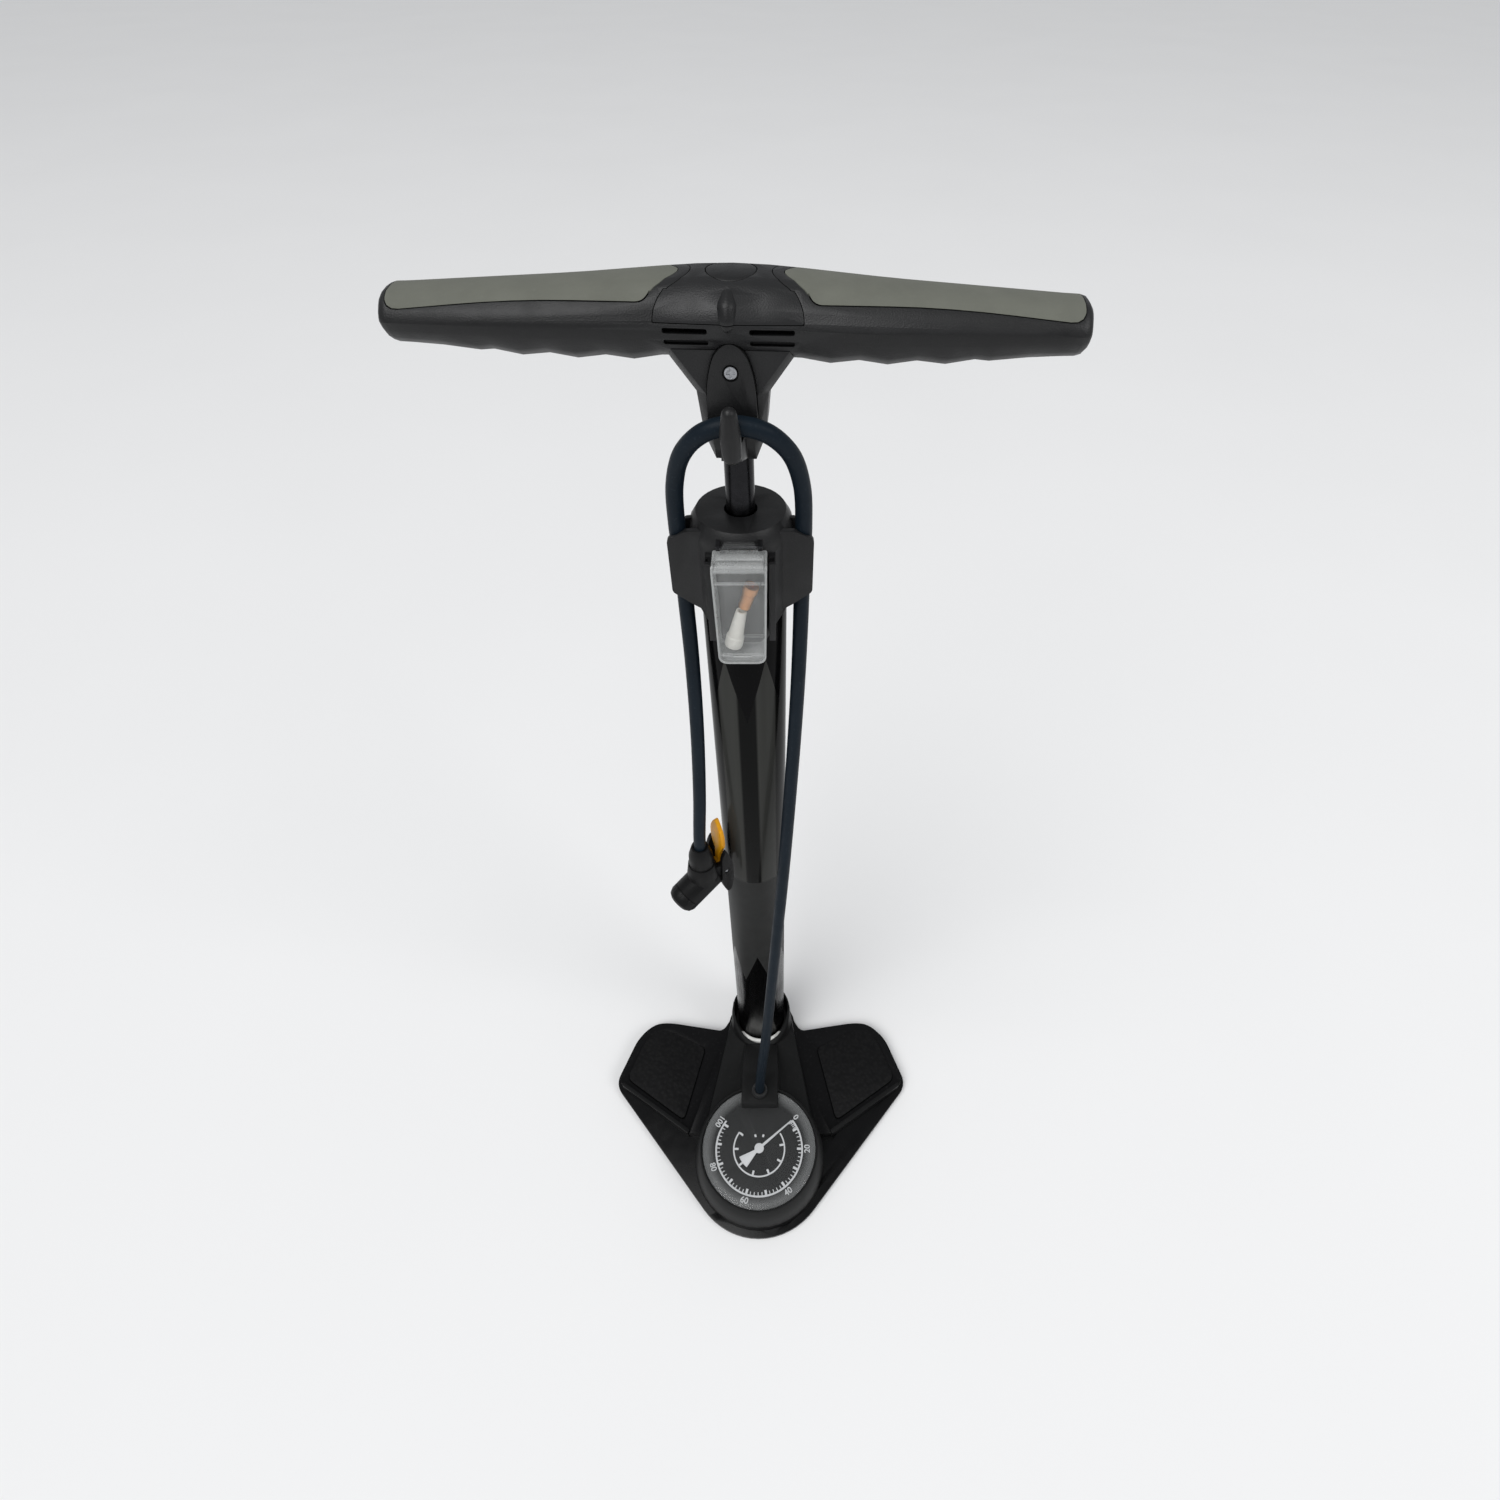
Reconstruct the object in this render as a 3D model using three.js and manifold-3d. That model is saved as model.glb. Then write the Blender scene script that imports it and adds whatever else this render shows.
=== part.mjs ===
// Bicycle track pump: a floor-standing hand pump with a pressure gauge in its foot.
// Millimetres, +Z up. The origin is on the floor, under the middle of the barrel.
// The gauge and the accessory case face -Y. The handle stands at the bottom of its stroke.

import * as THREE from "three";
import { mergeVertices } from "three/addons/utils/BufferGeometryUtils.js";
import { ConvexGeometry } from "three/addons/geometries/ConvexGeometry.js";
import Module from "manifold-3d";

const wasm = await Module();
wasm.setup();

// ---------------------------------------------------------------- driving dimensions
const GAP = 0.3; // between pieces that touch

const BARREL_R = 19;
const BARREL_BORE_R = 17.5;
const BARREL_Z0 = 20.6;
const BARREL_Z1 = 508;

const ROD_R = 5.9;
const ROD_BORE_R = 4.7;
const ROD_Z0 = 47;
const ROD_Z1 = 586;
const PISTON_Z0 = 41;

const PLATE_Z0 = 2.3;
const PLATE_Z1 = 6;
const DECK_Z1 = 12;
const TIP = [121.3, -49.5]; // front corner of the right wing
const GAUGE_Y = -106;
const FRONT_R = 55.3; // nose of the foot, about the gauge centre
const REAR_R = 29; // behind the barrel
const REAR_START = 0.18; // radians at which the round back begins
const LENS_R = 43.2;
const LENS_Z0 = 33;
const PORT_Y = -67;
const PORT_Z1 = 46;

const CAP_R = 21.6;
const CAP_Z0 = 463;
const CAP_Z1 = 520;
const CLIP_X = 25.4; // hose channel in the cap's wings
const CLIP_Y = -6.6;

const CASE_HALF = 11;
const CASE_Z0 = 465.5;
const CASE_Z1 = 519.5;
const CASE_Y0 = -34.2; // front of the case
const CASE_Y1 = -20.6; // back of the case, on the cap

const HANDLE_TURN = THREE.MathUtils.degToRad(-3); // the handle turns freely; it stands a little off square
const HANDLE_HALF = 119;
const NECK_Z0 = 546;
const HOOK_FLOOR = 559.9;
const HOOK_INSIDE = -24.7; // back face of the hook's tongue

const HOSE_R = 3.5;
const HEAD_AT = [-30, -25, 284]; // on the hose's line, where the nozzle's line crosses it
const HEAD_TURN = -143.4; // degrees about Z: the nozzle points away from the barrel
const NOZZLE_DIP = 29; // degrees below level

// ---------------------------------------------------------------- materials
const finish = (color, roughness, metalness = 0, opacity = 1) =>
  new THREE.MeshStandardMaterial({
    color, roughness, metalness, opacity, transparent: opacity < 1,
  });

const M = {
  nylon: finish(0x26272a, 0.55),
  plateBlack: finish(0x101113, 0.25),
  tread: finish(0x1a1b1d, 0.85),
  rubber: finish(0x18191a, 0.9),
  barrel: finish(0x0b0b0c, 0.15, 0.2),
  chrome: finish(0xb8babc, 0.25, 1),
  rodBlack: finish(0x141416, 0.3, 0.4),
  white: finish(0xe9e9e4, 0.45),
  dial: finish(0x1b1c1e, 0.6),
  needle: finish(0xf2f2f0, 0.4),
  clear: finish(0xdfe6e8, 0.1, 0, 0.35),
  frosted: finish(0xd6dada, 0.25, 0, 0.5),
  hose: finish(0x27303b, 0.5),
  grip: finish(0x7a7c72, 0.8),
  lever: finish(0xd8980f, 0.4),
  brass: finish(0xb98a4a, 0.3, 1),
  steel: finish(0x9b9da0, 0.35, 1),
  cream: finish(0xd9d8cf, 0.6),
};

// ---------------------------------------------------------------- solids
const v3 = (x, y, z) => new THREE.Vector3(x, y, z);

function signedVolume(position, index) {
  const [a, b, c] = [v3(), v3(), v3()];
  let sum = 0;
  for (let i = 0; i < index.length; i += 3) {
    a.fromBufferAttribute(position, index[i]);
    b.fromBufferAttribute(position, index[i + 1]);
    c.fromBufferAttribute(position, index[i + 2]);
    sum += a.dot(b.cross(c));
  }
  return sum / 6;
}

// A closed geometry as a solid. Its faces are turned outwards and slivers on an axis are dropped.
function solid(geometry) {
  const bare = geometry.index ? geometry.toNonIndexed() : geometry.clone();
  for (const name of Object.keys(bare.attributes)) {
    if (name !== "position") bare.deleteAttribute(name);
  }
  const merged = mergeVertices(bare, 1e-4);
  const kept = [];
  for (let i = 0; i < merged.index.count; i += 3) {
    const [a, b, c] = [0, 1, 2].map((k) => merged.index.getX(i + k));
    if (a !== b && b !== c && c !== a) kept.push(a, b, c);
  }
  if (signedVolume(merged.attributes.position, kept) < 0) kept.reverse();
  return new wasm.Manifold(new wasm.Mesh({
    numProp: 3,
    vertProperties: new Float32Array(merged.attributes.position.array),
    triVerts: new Uint32Array(kept),
  }));
}

function geometryOf(body) {
  const mesh = body.getMesh();
  const indexed = new THREE.BufferGeometry()
    .setAttribute("position", new THREE.BufferAttribute(new Float32Array(mesh.vertProperties), 3))
    .setIndex(new THREE.BufferAttribute(new Uint32Array(mesh.triVerts), 1));
  const geometry = indexed.toNonIndexed();
  geometry.computeVertexNormals();
  return geometry;
}

const join = (first, ...rest) => rest.reduce((all, next) => all.add(next), first);
const cut = (first, ...rest) => rest.reduce((all, next) => all.subtract(next), first);

// A body of revolution about Z. The profile [radius, z] closes on itself or runs from axis to axis.
function turned(profile, segments = 32, x = 0, y = 0) {
  const points = profile.map(([r, z]) => new THREE.Vector2(r, z));
  return solid(new THREE.LatheGeometry(points, segments).rotateX(Math.PI / 2).translate(x, y, 0));
}

function tube(outer, inner, z0, z1, segments = 32, x = 0, y = 0) {
  return turned([[inner, z0], [outer, z0], [outer, z1], [inner, z1], [inner, z0]], segments, x, y);
}

function disc(radius, z0, z1, segments = 32, x = 0, y = 0) {
  return turned([[0, z0], [radius, z0], [radius, z1], [0, z1]], segments, x, y);
}

function box(x0, x1, y0, y1, z0, z1) {
  const g = new THREE.BoxGeometry(x1 - x0, y1 - y0, z1 - z0);
  return solid(g.translate((x0 + x1) / 2, (y0 + y1) / 2, (z0 + z1) / 2));
}

// The same box on the side of X that the sign gives.
function pair(side, x0, x1, ...rest) {
  return side > 0 ? box(x0, x1, ...rest) : box(-x1, -x0, ...rest);
}

const hull = (points) => solid(new ConvexGeometry(points));

// Points of a ball, to make a hull from.
function ballPoints(x, y, z, r) {
  const { position } = new THREE.SphereGeometry(r, 12, 8).translate(x, y, z).attributes;
  return Array.from({ length: position.count }, (_, i) => v3().fromBufferAttribute(position, i));
}

// A flat outline in X and Y, raised from z0 to z1.
function raised(shape, z0, z1, curveSegments = 4) {
  const g = new THREE.ExtrudeGeometry(shape, { depth: z1 - z0, bevelEnabled: false, curveSegments });
  return solid(g.translate(0, 0, z0));
}

// A flat outline in X and Z, seen from the front, carried from y0 back to y1.
function fronted(shape, y0, y1, curveSegments = 6) {
  const g = new THREE.ExtrudeGeometry(shape, { depth: y1 - y0, bevelEnabled: false, curveSegments });
  return solid(g.rotateX(Math.PI / 2).translate(0, y1, 0));
}

// The point on the way from a corner [x, y, cut] to another point, one cut length along.
function near([x, y, r = 0], [px, py]) {
  const step = new THREE.Vector2(px - x, py - y);
  return step.setLength(Math.min(r, step.length() / 2)).add({ x, y });
}

function turnCorner(shape, before, corner, after) {
  const [a, b] = [near(corner, before), near(corner, after)];
  shape.lineTo(a.x, a.y);
  if (corner[2]) shape.quadraticCurveTo(corner[0], corner[1], b.x, b.y);
}

// A closed outline through [x, y, cut] corners, each rounded over its cut length.
function rounded(corners) {
  const n = corners.length;
  const start = near(corners[n - 1], corners[0]);
  const shape = new THREE.Shape().moveTo(start.x, start.y);
  corners.forEach((c, i) => turnCorner(shape, corners[(i + n - 1) % n], c, corners[(i + 1) % n]));
  return shape;
}

const mirrored = (corners) => corners.map(([x, y, r]) => [-x, y, r]).reverse();

const polygonOf = (radius, sides) => new THREE.Shape(Array.from({ length: sides }, (_, i) =>
  new THREE.Vector2(radius, 0).rotateAround(new THREE.Vector2(), (i / sides) * 2 * Math.PI)));

// A round bar along a smooth curve through the points.
function bent(points, radius, steps, sides = 8) {
  const path = new THREE.CatmullRomCurve3(points.map((p) => v3(...p)), false, "centripetal");
  return solid(new THREE.ExtrudeGeometry(polygonOf(radius, sides), { steps, extrudePath: path }));
}

// A straight round bar between two points.
function bar(from, to, radius, sides = 16) {
  const [a, b] = [v3(...from), v3(...to)];
  const g = new THREE.CylinderGeometry(radius, radius, a.distanceTo(b), sides);
  const turn = new THREE.Quaternion().setFromUnitVectors(v3(0, 1, 0), b.clone().sub(a).normalize());
  const middle = a.add(b).multiplyScalar(0.5);
  return solid(g.applyQuaternion(turn).translate(middle.x, middle.y, middle.z));
}

// A closed skin over rings of points, with flat ends.
function loft(rings) {
  const n = rings[0].length;
  const last = (rings.length - 1) * n;
  const index = [];
  for (let i = 0; i + 1 < rings.length; i += 1) {
    for (let j = 0; j < n; j += 1) {
      const [a, b] = [i * n + j, i * n + ((j + 1) % n)];
      index.push(a, b, b + n, a, b + n, a + n);
    }
  }
  for (let j = 1; j + 1 < n; j += 1) {
    index.push(0, j + 1, j, last, last + j, last + j + 1);
  }
  const g = new THREE.BufferGeometry().setFromPoints(rings.flat());
  return solid(g.setIndex(index));
}

const pump = new THREE.Group();

function add(name, body, material, parent = pump) {
  const mesh = new THREE.Mesh(geometryOf(body), material);
  mesh.name = name;
  parent.add(mesh);
  return mesh;
}

// ---------------------------------------------------------------- foot
// Outline of the foot: two wings, a round nose under the gauge and a round back under the barrel.
function footOutline() {
  const tip = [...TIP, 9];
  const wing = [tip, [106.6, -9.5, 8], [93.5, 2.4, 9], [80, 3.4, 8], [34, -3.8, 6]];
  const reach = Math.hypot(tip[0], tip[1] - GAUGE_Y);
  const touch = Math.atan2(tip[1] - GAUGE_Y, tip[0]) - Math.acos(FRONT_R / reach);
  const nose = (side) => [side * FRONT_R * Math.cos(touch), GAUGE_Y + FRONT_R * Math.sin(touch)];
  const back = (side) => [side * REAR_R * Math.cos(REAR_START), REAR_R * Math.sin(REAR_START)];
  const shape = new THREE.Shape();
  const walk = (stops) => stops.slice(1, -1).forEach((c, i) => turnCorner(shape, stops[i], c, stops[i + 2]));
  shape.absarc(0, GAUGE_Y, FRONT_R, Math.PI - touch, touch, false);
  walk([nose(1), ...wing, back(1)]);
  shape.absarc(0, 0, REAR_R, REAR_START, Math.PI - REAR_START, false);
  walk([back(-1), ...mirrored(wing), nose(-1)]);
  return shape;
}

// Raised tread deck of the right wing. Its front edge is the rib that runs from tip to dome.
const DECK = [[26, -8, 2], [34, -6, 4], [80, 1.2, 8], [92.5, 0.2, 9], [104.4, -10.5, 8], [118.2, -49, 7],
  [110, -54.5, 3], [57, -89.5, 2], [40, -90, 0]];
const PAD = [[47, -21, 5], [80, -5.5, 8], [90, -5.5, 8], [99.5, -14.5, 8], [111.5, -47, 6],
  [61, -80.5, 5]];
const SCREWS = { right: [92, -38], left: [-92, -38], front_right: [27, -144], front_left: [-27, -144] };
const RIB = [[113.5, -50.2, 2], [114.8, -52.6, 2], [57.5, -90.4, 1], [55.8, -87.6, 1]];

function basePlate() {
  const holes = Object.values(SCREWS).map(([x, y]) => disc(2, 0, 8, 12, x, y));
  return cut(raised(footOutline(), PLATE_Z0, PLATE_Z1, 8), ...holes);
}

function circlePoints(x, y, z, radius, count = 18) {
  return Array.from({ length: count }, (_, i) => {
    const a = (i / count) * 2 * Math.PI;
    return v3(x + radius * Math.cos(a), y + radius * Math.sin(a), z);
  });
}

function baseHousing() {
  const z0 = PLATE_Z1 + GAP;
  const decks = [DECK, mirrored(DECK)].map((d) => raised(rounded(d), z0, DECK_Z1));
  const ribs = [RIB, mirrored(RIB)].map((d) => raised(rounded(d), z0, DECK_Z1 + 2.6));
  const dome = turned([[0, z0], [50.6, z0], [50.2, 15], [48.8, 24], [46.6, 31], [45.2, 35.4], [44.6, 36],
    [43.9, 36], [43.6, LENS_Z0 - GAP], [0, LENS_Z0 - GAP]], 40, 0, GAUGE_Y);
  const body = hull([...circlePoints(0, GAUGE_Y, z0, 49.5), ...circlePoints(0, GAUGE_Y, 26, 45),
    ...circlePoints(0, -1, z0, 28), ...circlePoints(0, -2, 19, 26)]);
  const spine = hull([v3(-14.5, -20, 12), v3(14.5, -20, 12), v3(-13, -24, 27), v3(13, -24, 27),
    v3(-14, -50, 40), v3(14, -50, 40), v3(-13.5, -76, 41.5), v3(13.5, -76, 41.5),
    v3(-14, -78.5, 37.6), v3(14, -78.5, 37.6), v3(-17, -62, 26), v3(17, -62, 26)]);
  const sleeve = cut(turned([[0, z0], [26.6, z0], [25.6, 22], [24.6, 38], [23.8, 45], [0, 45]], 32),
    hull([v3(-40, -26.5, 21.5), v3(40, -26.5, 21.5), v3(-40, -3, 45.5), v3(40, -3, 45.5),
      v3(-40, -60, 21.5), v3(40, -60, 21.5), v3(-40, -60, 60), v3(40, -60, 60),
      v3(-40, 2, 60), v3(40, 2, 60)]));
  const boss = disc(6.4, 30, 43.5, 24, 0, PORT_Y);
  const filled = join(dome, body, spine, sleeve, boss, ...decks, ...ribs);
  const lensRoom = cut(disc(LENS_R + GAP + 0.1, LENS_Z0 - GAP, 37.3, 40, 0, GAUGE_Y), portNotch(0));
  const gaugeRoom = disc(41.4, z0 - 1, LENS_Z0, 32, 0, GAUGE_Y);
  const ductRoom = box(-6, 6, PORT_Y - 5, 12, z0 - 1, 20);
  const riserRoom = disc(4.4, 10, 60, 16, 0, PORT_Y);
  const barrelRoom = join(disc(BARREL_R + GAP + 0.1, 12, 60, 36), disc(22.4, 22, 60, 28));
  const screwRooms = Object.values(SCREWS).map(([x, y]) => disc(1.9, 5, 11, 10, x, y));
  const padRooms = [PAD, mirrored(PAD)].map((d) => raised(rounded(d), DECK_Z1 - 1.5, 20));
  return cut(filled, lensRoom, gaugeRoom, ductRoom, riserRoom, barrelRoom, ...screwRooms, ...padRooms);
}

// The hose port comes up through a notch in the dial and in the lens.
function portNotch(grow) {
  return box(-6.6 - grow, 6.6 + grow, PORT_Y - 7 - grow, PORT_Y + 40, 20, 60);
}

function treadPad(corners) {
  const [cx, cy] = [78, -35];
  const shrink = 0.985;
  const inner = corners.map(([x, y, r]) => {
    const side = Math.sign(x);
    return [side * cx + (x - side * cx) * shrink, cy + (y - cy) * shrink, r];
  });
  return raised(rounded(inner), DECK_Z1 - 1.2, DECK_Z1 + 1.4);
}

function baseScrew(x, y) {
  const head = disc(3.4, PLATE_Z0 - 1.9, PLATE_Z0 - GAP, 16, x, y);
  return join(head, disc(1.5, PLATE_Z0 - 1, 10, 10, x, y));
}

add("base_plate", basePlate(), M.plateBlack);
add("base_housing", baseHousing(), M.nylon);
add("tread_pad_right", treadPad(PAD), M.tread);
add("tread_pad_left", treadPad(mirrored(PAD)), M.tread);
const FEET = { foot_right: [86, -14], foot_left: [-86, -14], foot_front: [0, -150], foot_centre: [0, 0] };
for (const [name, [x, y]] of Object.entries(FEET)) {
  const r = name === "foot_centre" ? 14 : 8;
  add(name, turned([[0, 0], [r - 0.6, 0], [r, 0.8], [r, 2], [0, 2]], 18, x, y), M.rubber);
}
for (const [name, [x, y]] of Object.entries(SCREWS)) add(`base_screw_${name}`, baseScrew(x, y), M.steel);

// ---------------------------------------------------------------- gauge
const gauge = new THREE.Group();
gauge.position.set(0, GAUGE_Y, 0);
pump.add(gauge);

const CASE_R = 34.5;
add("gauge_case", turned([[0, 8], [CASE_R, 8], [CASE_R, 28.4], [CASE_R - 1, 28.4], [CASE_R - 1, 9.2],
  [0, 9.2]], 28), M.steel, gauge);

// The pressure-sensing tube is a flattened C that starts at its fixed socket behind the spine.
function bourdonTube() {
  const points = [];
  for (let a = 70; a <= 330; a += 20) {
    const t = THREE.MathUtils.degToRad(a);
    points.push([26 * Math.cos(t), 26 * Math.sin(t), 13.5]);
  }
  return join(bent(points, 2.2, 18, 6), box(4, 14, 21, 28.5, 10, 17));
}
add("bourdon_tube", bourdonTube(), M.brass, gauge);

const SECTOR_AT = [0, 15];
const SECTOR_REST = THREE.MathUtils.degToRad(-20); // one end of its swing
const NEEDLE_REST = THREE.MathUtils.degToRad(39); // the zero mark, to the upper right of the dial

// Toothed sector and pinion, modelled at their pitch lines with a running gap.
function gaugeSector() {
  const shape = new THREE.Shape();
  const [r, half] = [12.6, THREE.MathUtils.degToRad(24)];
  const middle = -Math.PI / 2;
  shape.moveTo(-2.4, 0);
  shape.absarc(0, 0, r, middle - half, middle + half, false);
  shape.lineTo(2.4, 0);
  shape.absarc(0, 0, 2.4, 0, Math.PI, false);
  return cut(join(raised(shape, 20, 21.4, 10), disc(2.4, 17, 23.5, 16)), disc(1.1, 16, 24, 12));
}
const sector = add("gauge_sector", gaugeSector(), M.brass, gauge);
sector.position.set(...SECTOR_AT, 0);
sector.rotation.z = SECTOR_REST;
add("sector_pivot", bar([...SECTOR_AT, 9.5], [...SECTOR_AT, 24.5], 0.75, 12), M.steel, gauge);
add("needle_spindle", join(disc(0.9, 9.6, 31, 12), disc(2, 19.6, 21.8, 16)), M.brass, gauge);
const notch = portNotch(GAP).translate([0, -GAUGE_Y, 0]);
add("gauge_dial", cut(tube(41, 1.6, 29, 29.9, 32), notch), M.dial, gauge);

// White pointer with a round hub and a fan-shaped tail.
function gaugeNeedle() {
  const [r0, r1] = [3.6, 31];
  const shape = new THREE.Shape();
  shape.moveTo(r0 * 0.9, -0.95);
  shape.lineTo(r1, -0.45);
  shape.lineTo(r1, 0.45);
  shape.lineTo(r0 * 0.9, 0.95);
  shape.absarc(0, 0, r0, 0.27, Math.PI - 0.35, false);
  shape.lineTo(-15.5, 4.6);
  shape.quadraticCurveTo(-16.8, 0, -15.5, -4.6);
  shape.absarc(0, 0, r0, Math.PI + 0.35, 2 * Math.PI - 0.27, false);
  shape.closePath();
  return cut(raised(shape, 30.8, 31.5, 8), disc(1.2, 30, 31.3, 12));
}
const needle = add("gauge_needle", gaugeNeedle(), M.needle, gauge);
needle.rotation.z = NEEDLE_REST;

add("gauge_lens", cut(turned([[0, LENS_Z0], [LENS_R, LENS_Z0], [LENS_R, 35], [38, 36.1], [20, 36.8],
  [0, 37]], 40), notch), M.clear, gauge);

// ---------------------------------------------------------------- barrel
add("barrel", tube(BARREL_R, BARREL_BORE_R, BARREL_Z0, BARREL_Z1, 36), M.barrel);
add("seal_ring", tube(21.9, BARREL_R + GAP + 0.1, 22.4, 28.2, 36), M.white);

const VALVE_Z = 33;
add("barrel_plug", turned([[2.6, 40], [2.6, VALVE_Z + 2], [5.6, VALVE_Z + 2], [5.6, 22],
  [BARREL_BORE_R - GAP, 22], [BARREL_BORE_R - GAP, 40], [2.6, 40]], 28), M.nylon);
add("valve_disc", turned([[0, VALVE_Z - 1], [1.6, VALVE_Z - 1], [1.6, VALVE_Z + 0.2], [4.6, VALVE_Z + 0.2],
  [4.6, VALVE_Z + 1.7], [0, VALVE_Z + 1.7]], 20), M.rubber);
function coil(radius, wire, z0, z1, turns, perTurn = 8) {
  const points = Array.from({ length: turns * perTurn + 1 }, (_, i) => {
    const a = (i / perTurn) * 2 * Math.PI;
    return [radius * Math.cos(a), radius * Math.sin(a), z0 + ((z1 - z0) * i) / (turns * perTurn)];
  });
  return bent(points, wire, turns * perTurn, 5);
}
add("valve_spring", coil(3.2, 0.35, 23.2, VALVE_Z - 0.5, 4), M.steel);

// Air way from the check valve to the hose port, with a branch to the gauge.
function airDuct() {
  const route = [[0, 0, 14], [0, PORT_Y, 14]];
  const outer = join(bar(...route, 3.2), disc(5, 11, 21.6, 20), disc(4, 11, 32.6, 20, 0, PORT_Y));
  return cut(outer, disc(1.6, 14, 40, 12), disc(1.6, 14, 40, 12, 0, PORT_Y),
    bar([0, 0, 14], [0, PORT_Y, 14], 1.4, 10));
}
add("air_duct", airDuct(), M.nylon);

// ---------------------------------------------------------------- hose
// Up from the foot, through the right clip, over the hook, through the left clip and down to the head.
const HOSE_ROUTE = [
  [0, PORT_Y, 40], [0.6, -66.5, 60], [2.6, -64.5, 90], [5.6, -60.5, 125], [9, -53.5, 172], [13, -43.5, 228],
  [17.6, -32, 292], [21.2, -21.5, 355], [23.4, -14.5, 400], [24.8, -9.8, 440], [CLIP_X, CLIP_Y - 0.3, 478],
  [CLIP_X, CLIP_Y, 498], [25.6, -8.4, 518], [24.2, -11.6, 538], [19.4, -16.2, 553], [10.5, -20, 562.6],
  [0, -20.6, 565.2], [-10.5, -20, 562.6], [-19.4, -16.2, 553], [-24.2, -11.6, 538], [-25.6, -8.4, 518],
  [-CLIP_X, CLIP_Y, 498], [-CLIP_X, CLIP_Y - 0.3, 478], [-25.2, -9, 445], [-25.8, -14, 400], [-27.6, -20, 355],
  [-29.6, -24.4, 324], [HEAD_AT[0], HEAD_AT[1], 312], [HEAD_AT[0], HEAD_AT[1], 303.6],
];
const HOSE_STEPS = 62;
const HOSE_SIDES = 9;
const alongHose = (radius) => bent(HOSE_ROUTE, radius, HOSE_STEPS, HOSE_SIDES);
const hoseWay = alongHose(HOSE_R + 0.4); // room for the hose in the pieces it runs through

add("hose", alongHose(HOSE_R), M.hose);
add("hose_port", cut(turned([[0, 38.6], [0, PORT_Z1], [5, PORT_Z1], [6, 45], [6, 43.8], [4, 43.8], [4, 33.2],
  [1.8, 33.2], [1.8, 38.6], [0, 38.6]], 24, 0, PORT_Y), hoseWay, disc(1.8, 30, 41, 16, 0, PORT_Y),
  disc(HOSE_R + 0.4, 39.4, 42, HOSE_SIDES, 0, PORT_Y)), M.nylon);

// ---------------------------------------------------------------- cap, with hose clips on its wings
function barrelCap() {
  const shell = turned([[0, CAP_Z0], [CAP_R, CAP_Z0], [CAP_R, 513], [CAP_R - 0.6, 516], [CAP_R - 3, CAP_Z1],
    [0, CAP_Z1]], 36);
  const wing = [[14, 517.2, 0], [20.2, 517.2, 0.5], [22.5, 517, 0.5], [29.8, 513.4, 1.5], [29.8, 487.5, 1.5],
    [21.5, 481, 0.5], [14, 476, 0]];
  const rearWing = wing.map(([x, z, r]) => [Math.min(x, 27), z, r]);
  const wings = [wing, mirrored(wing)].map((w) =>
    fronted(rounded(w), CLIP_Y - HOSE_R - GAP - 2.6, CLIP_Y - HOSE_R - GAP, 3));
  const rearWings = [rearWing, mirrored(rearWing)].map((w) =>
    fronted(rounded(w), CLIP_Y + HOSE_R + GAP, CLIP_Y + HOSE_R + GAP + 2.2, 3));
  const rails = [-1, 1].map((s) => pair(s, 11.5, 14.2, -24.8, -12, 470.5, 510));
  const brow = fronted(rounded([[-14, 508, 2], [14, 508, 2], [13.4, 515.6, 3], [0, 513.2, 9],
    [-13.4, 515.6, 3]]), -23, -19.9);
  const lowerEdge = (y0, y1, half, z) => fronted(rounded([[-40, 440], [40, 440], [40, z], [half, z, 0.5],
    [13.5, 472, 1], [9, 464.4, 1], [-9, 464.4, 1], [-13.5, 472, 1], [-half, z, 0.5], [-40, z]]), y0, y1, 3);
  const trimmed = cut(shell, lowerEdge(-11, 40, 21, 482), lowerEdge(-40, -10.9, 24, 483));
  const bores = [disc(BARREL_R + GAP + 0.1, 440, BARREL_Z1 + 0.5, 36), disc(12.6, 500, 516.4, 24),
    disc(6.9, 510, 530, 24)];
  const caseRoom = box(-CASE_HALF - GAP, CASE_HALF + GAP, -50, CASE_Y1 + GAP, 460, 515.2);
  return cut(join(trimmed, ...wings, ...rearWings, ...rails), ...bores, hoseWay, brow, caseRoom);
}
add("barrel_cap", barrelCap(), M.nylon);
add("cap_bush", tube(12.2, ROD_R + 0.4, 494, 511.5, 24), M.cream);
add("rod_wiper", tube(11, ROD_R + 0.4, 512, 515.8, 24), M.rubber);

// ---------------------------------------------------------------- accessory case
const caseOutline = (inset, z0, z1, r) => rounded([[-CASE_HALF + 0.9 + inset, z0, r],
  [CASE_HALF - 0.9 - inset, z0, r], [CASE_HALF - inset, z1, 1.2], [-CASE_HALF + inset, z1, 1.2]]);
const TRAY_Y = CASE_Y1 - 1.4;
const CASE_WALL = 1.1;
const CASE_TOP = 514;

function caseTray() {
  const plate = fronted(caseOutline(CASE_WALL + 0.4, CASE_Z0 + CASE_WALL + 0.4, 511.6, 3), TRAY_Y, CASE_Y1);
  const clips = [476, 500].map((z) => box(-2.6, 2.6, TRAY_Y - 0.8, TRAY_Y + 0.1, z, z + 1.6));
  return join(plate, ...clips);
}
add("case_tray", caseTray(), M.frosted);

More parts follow.
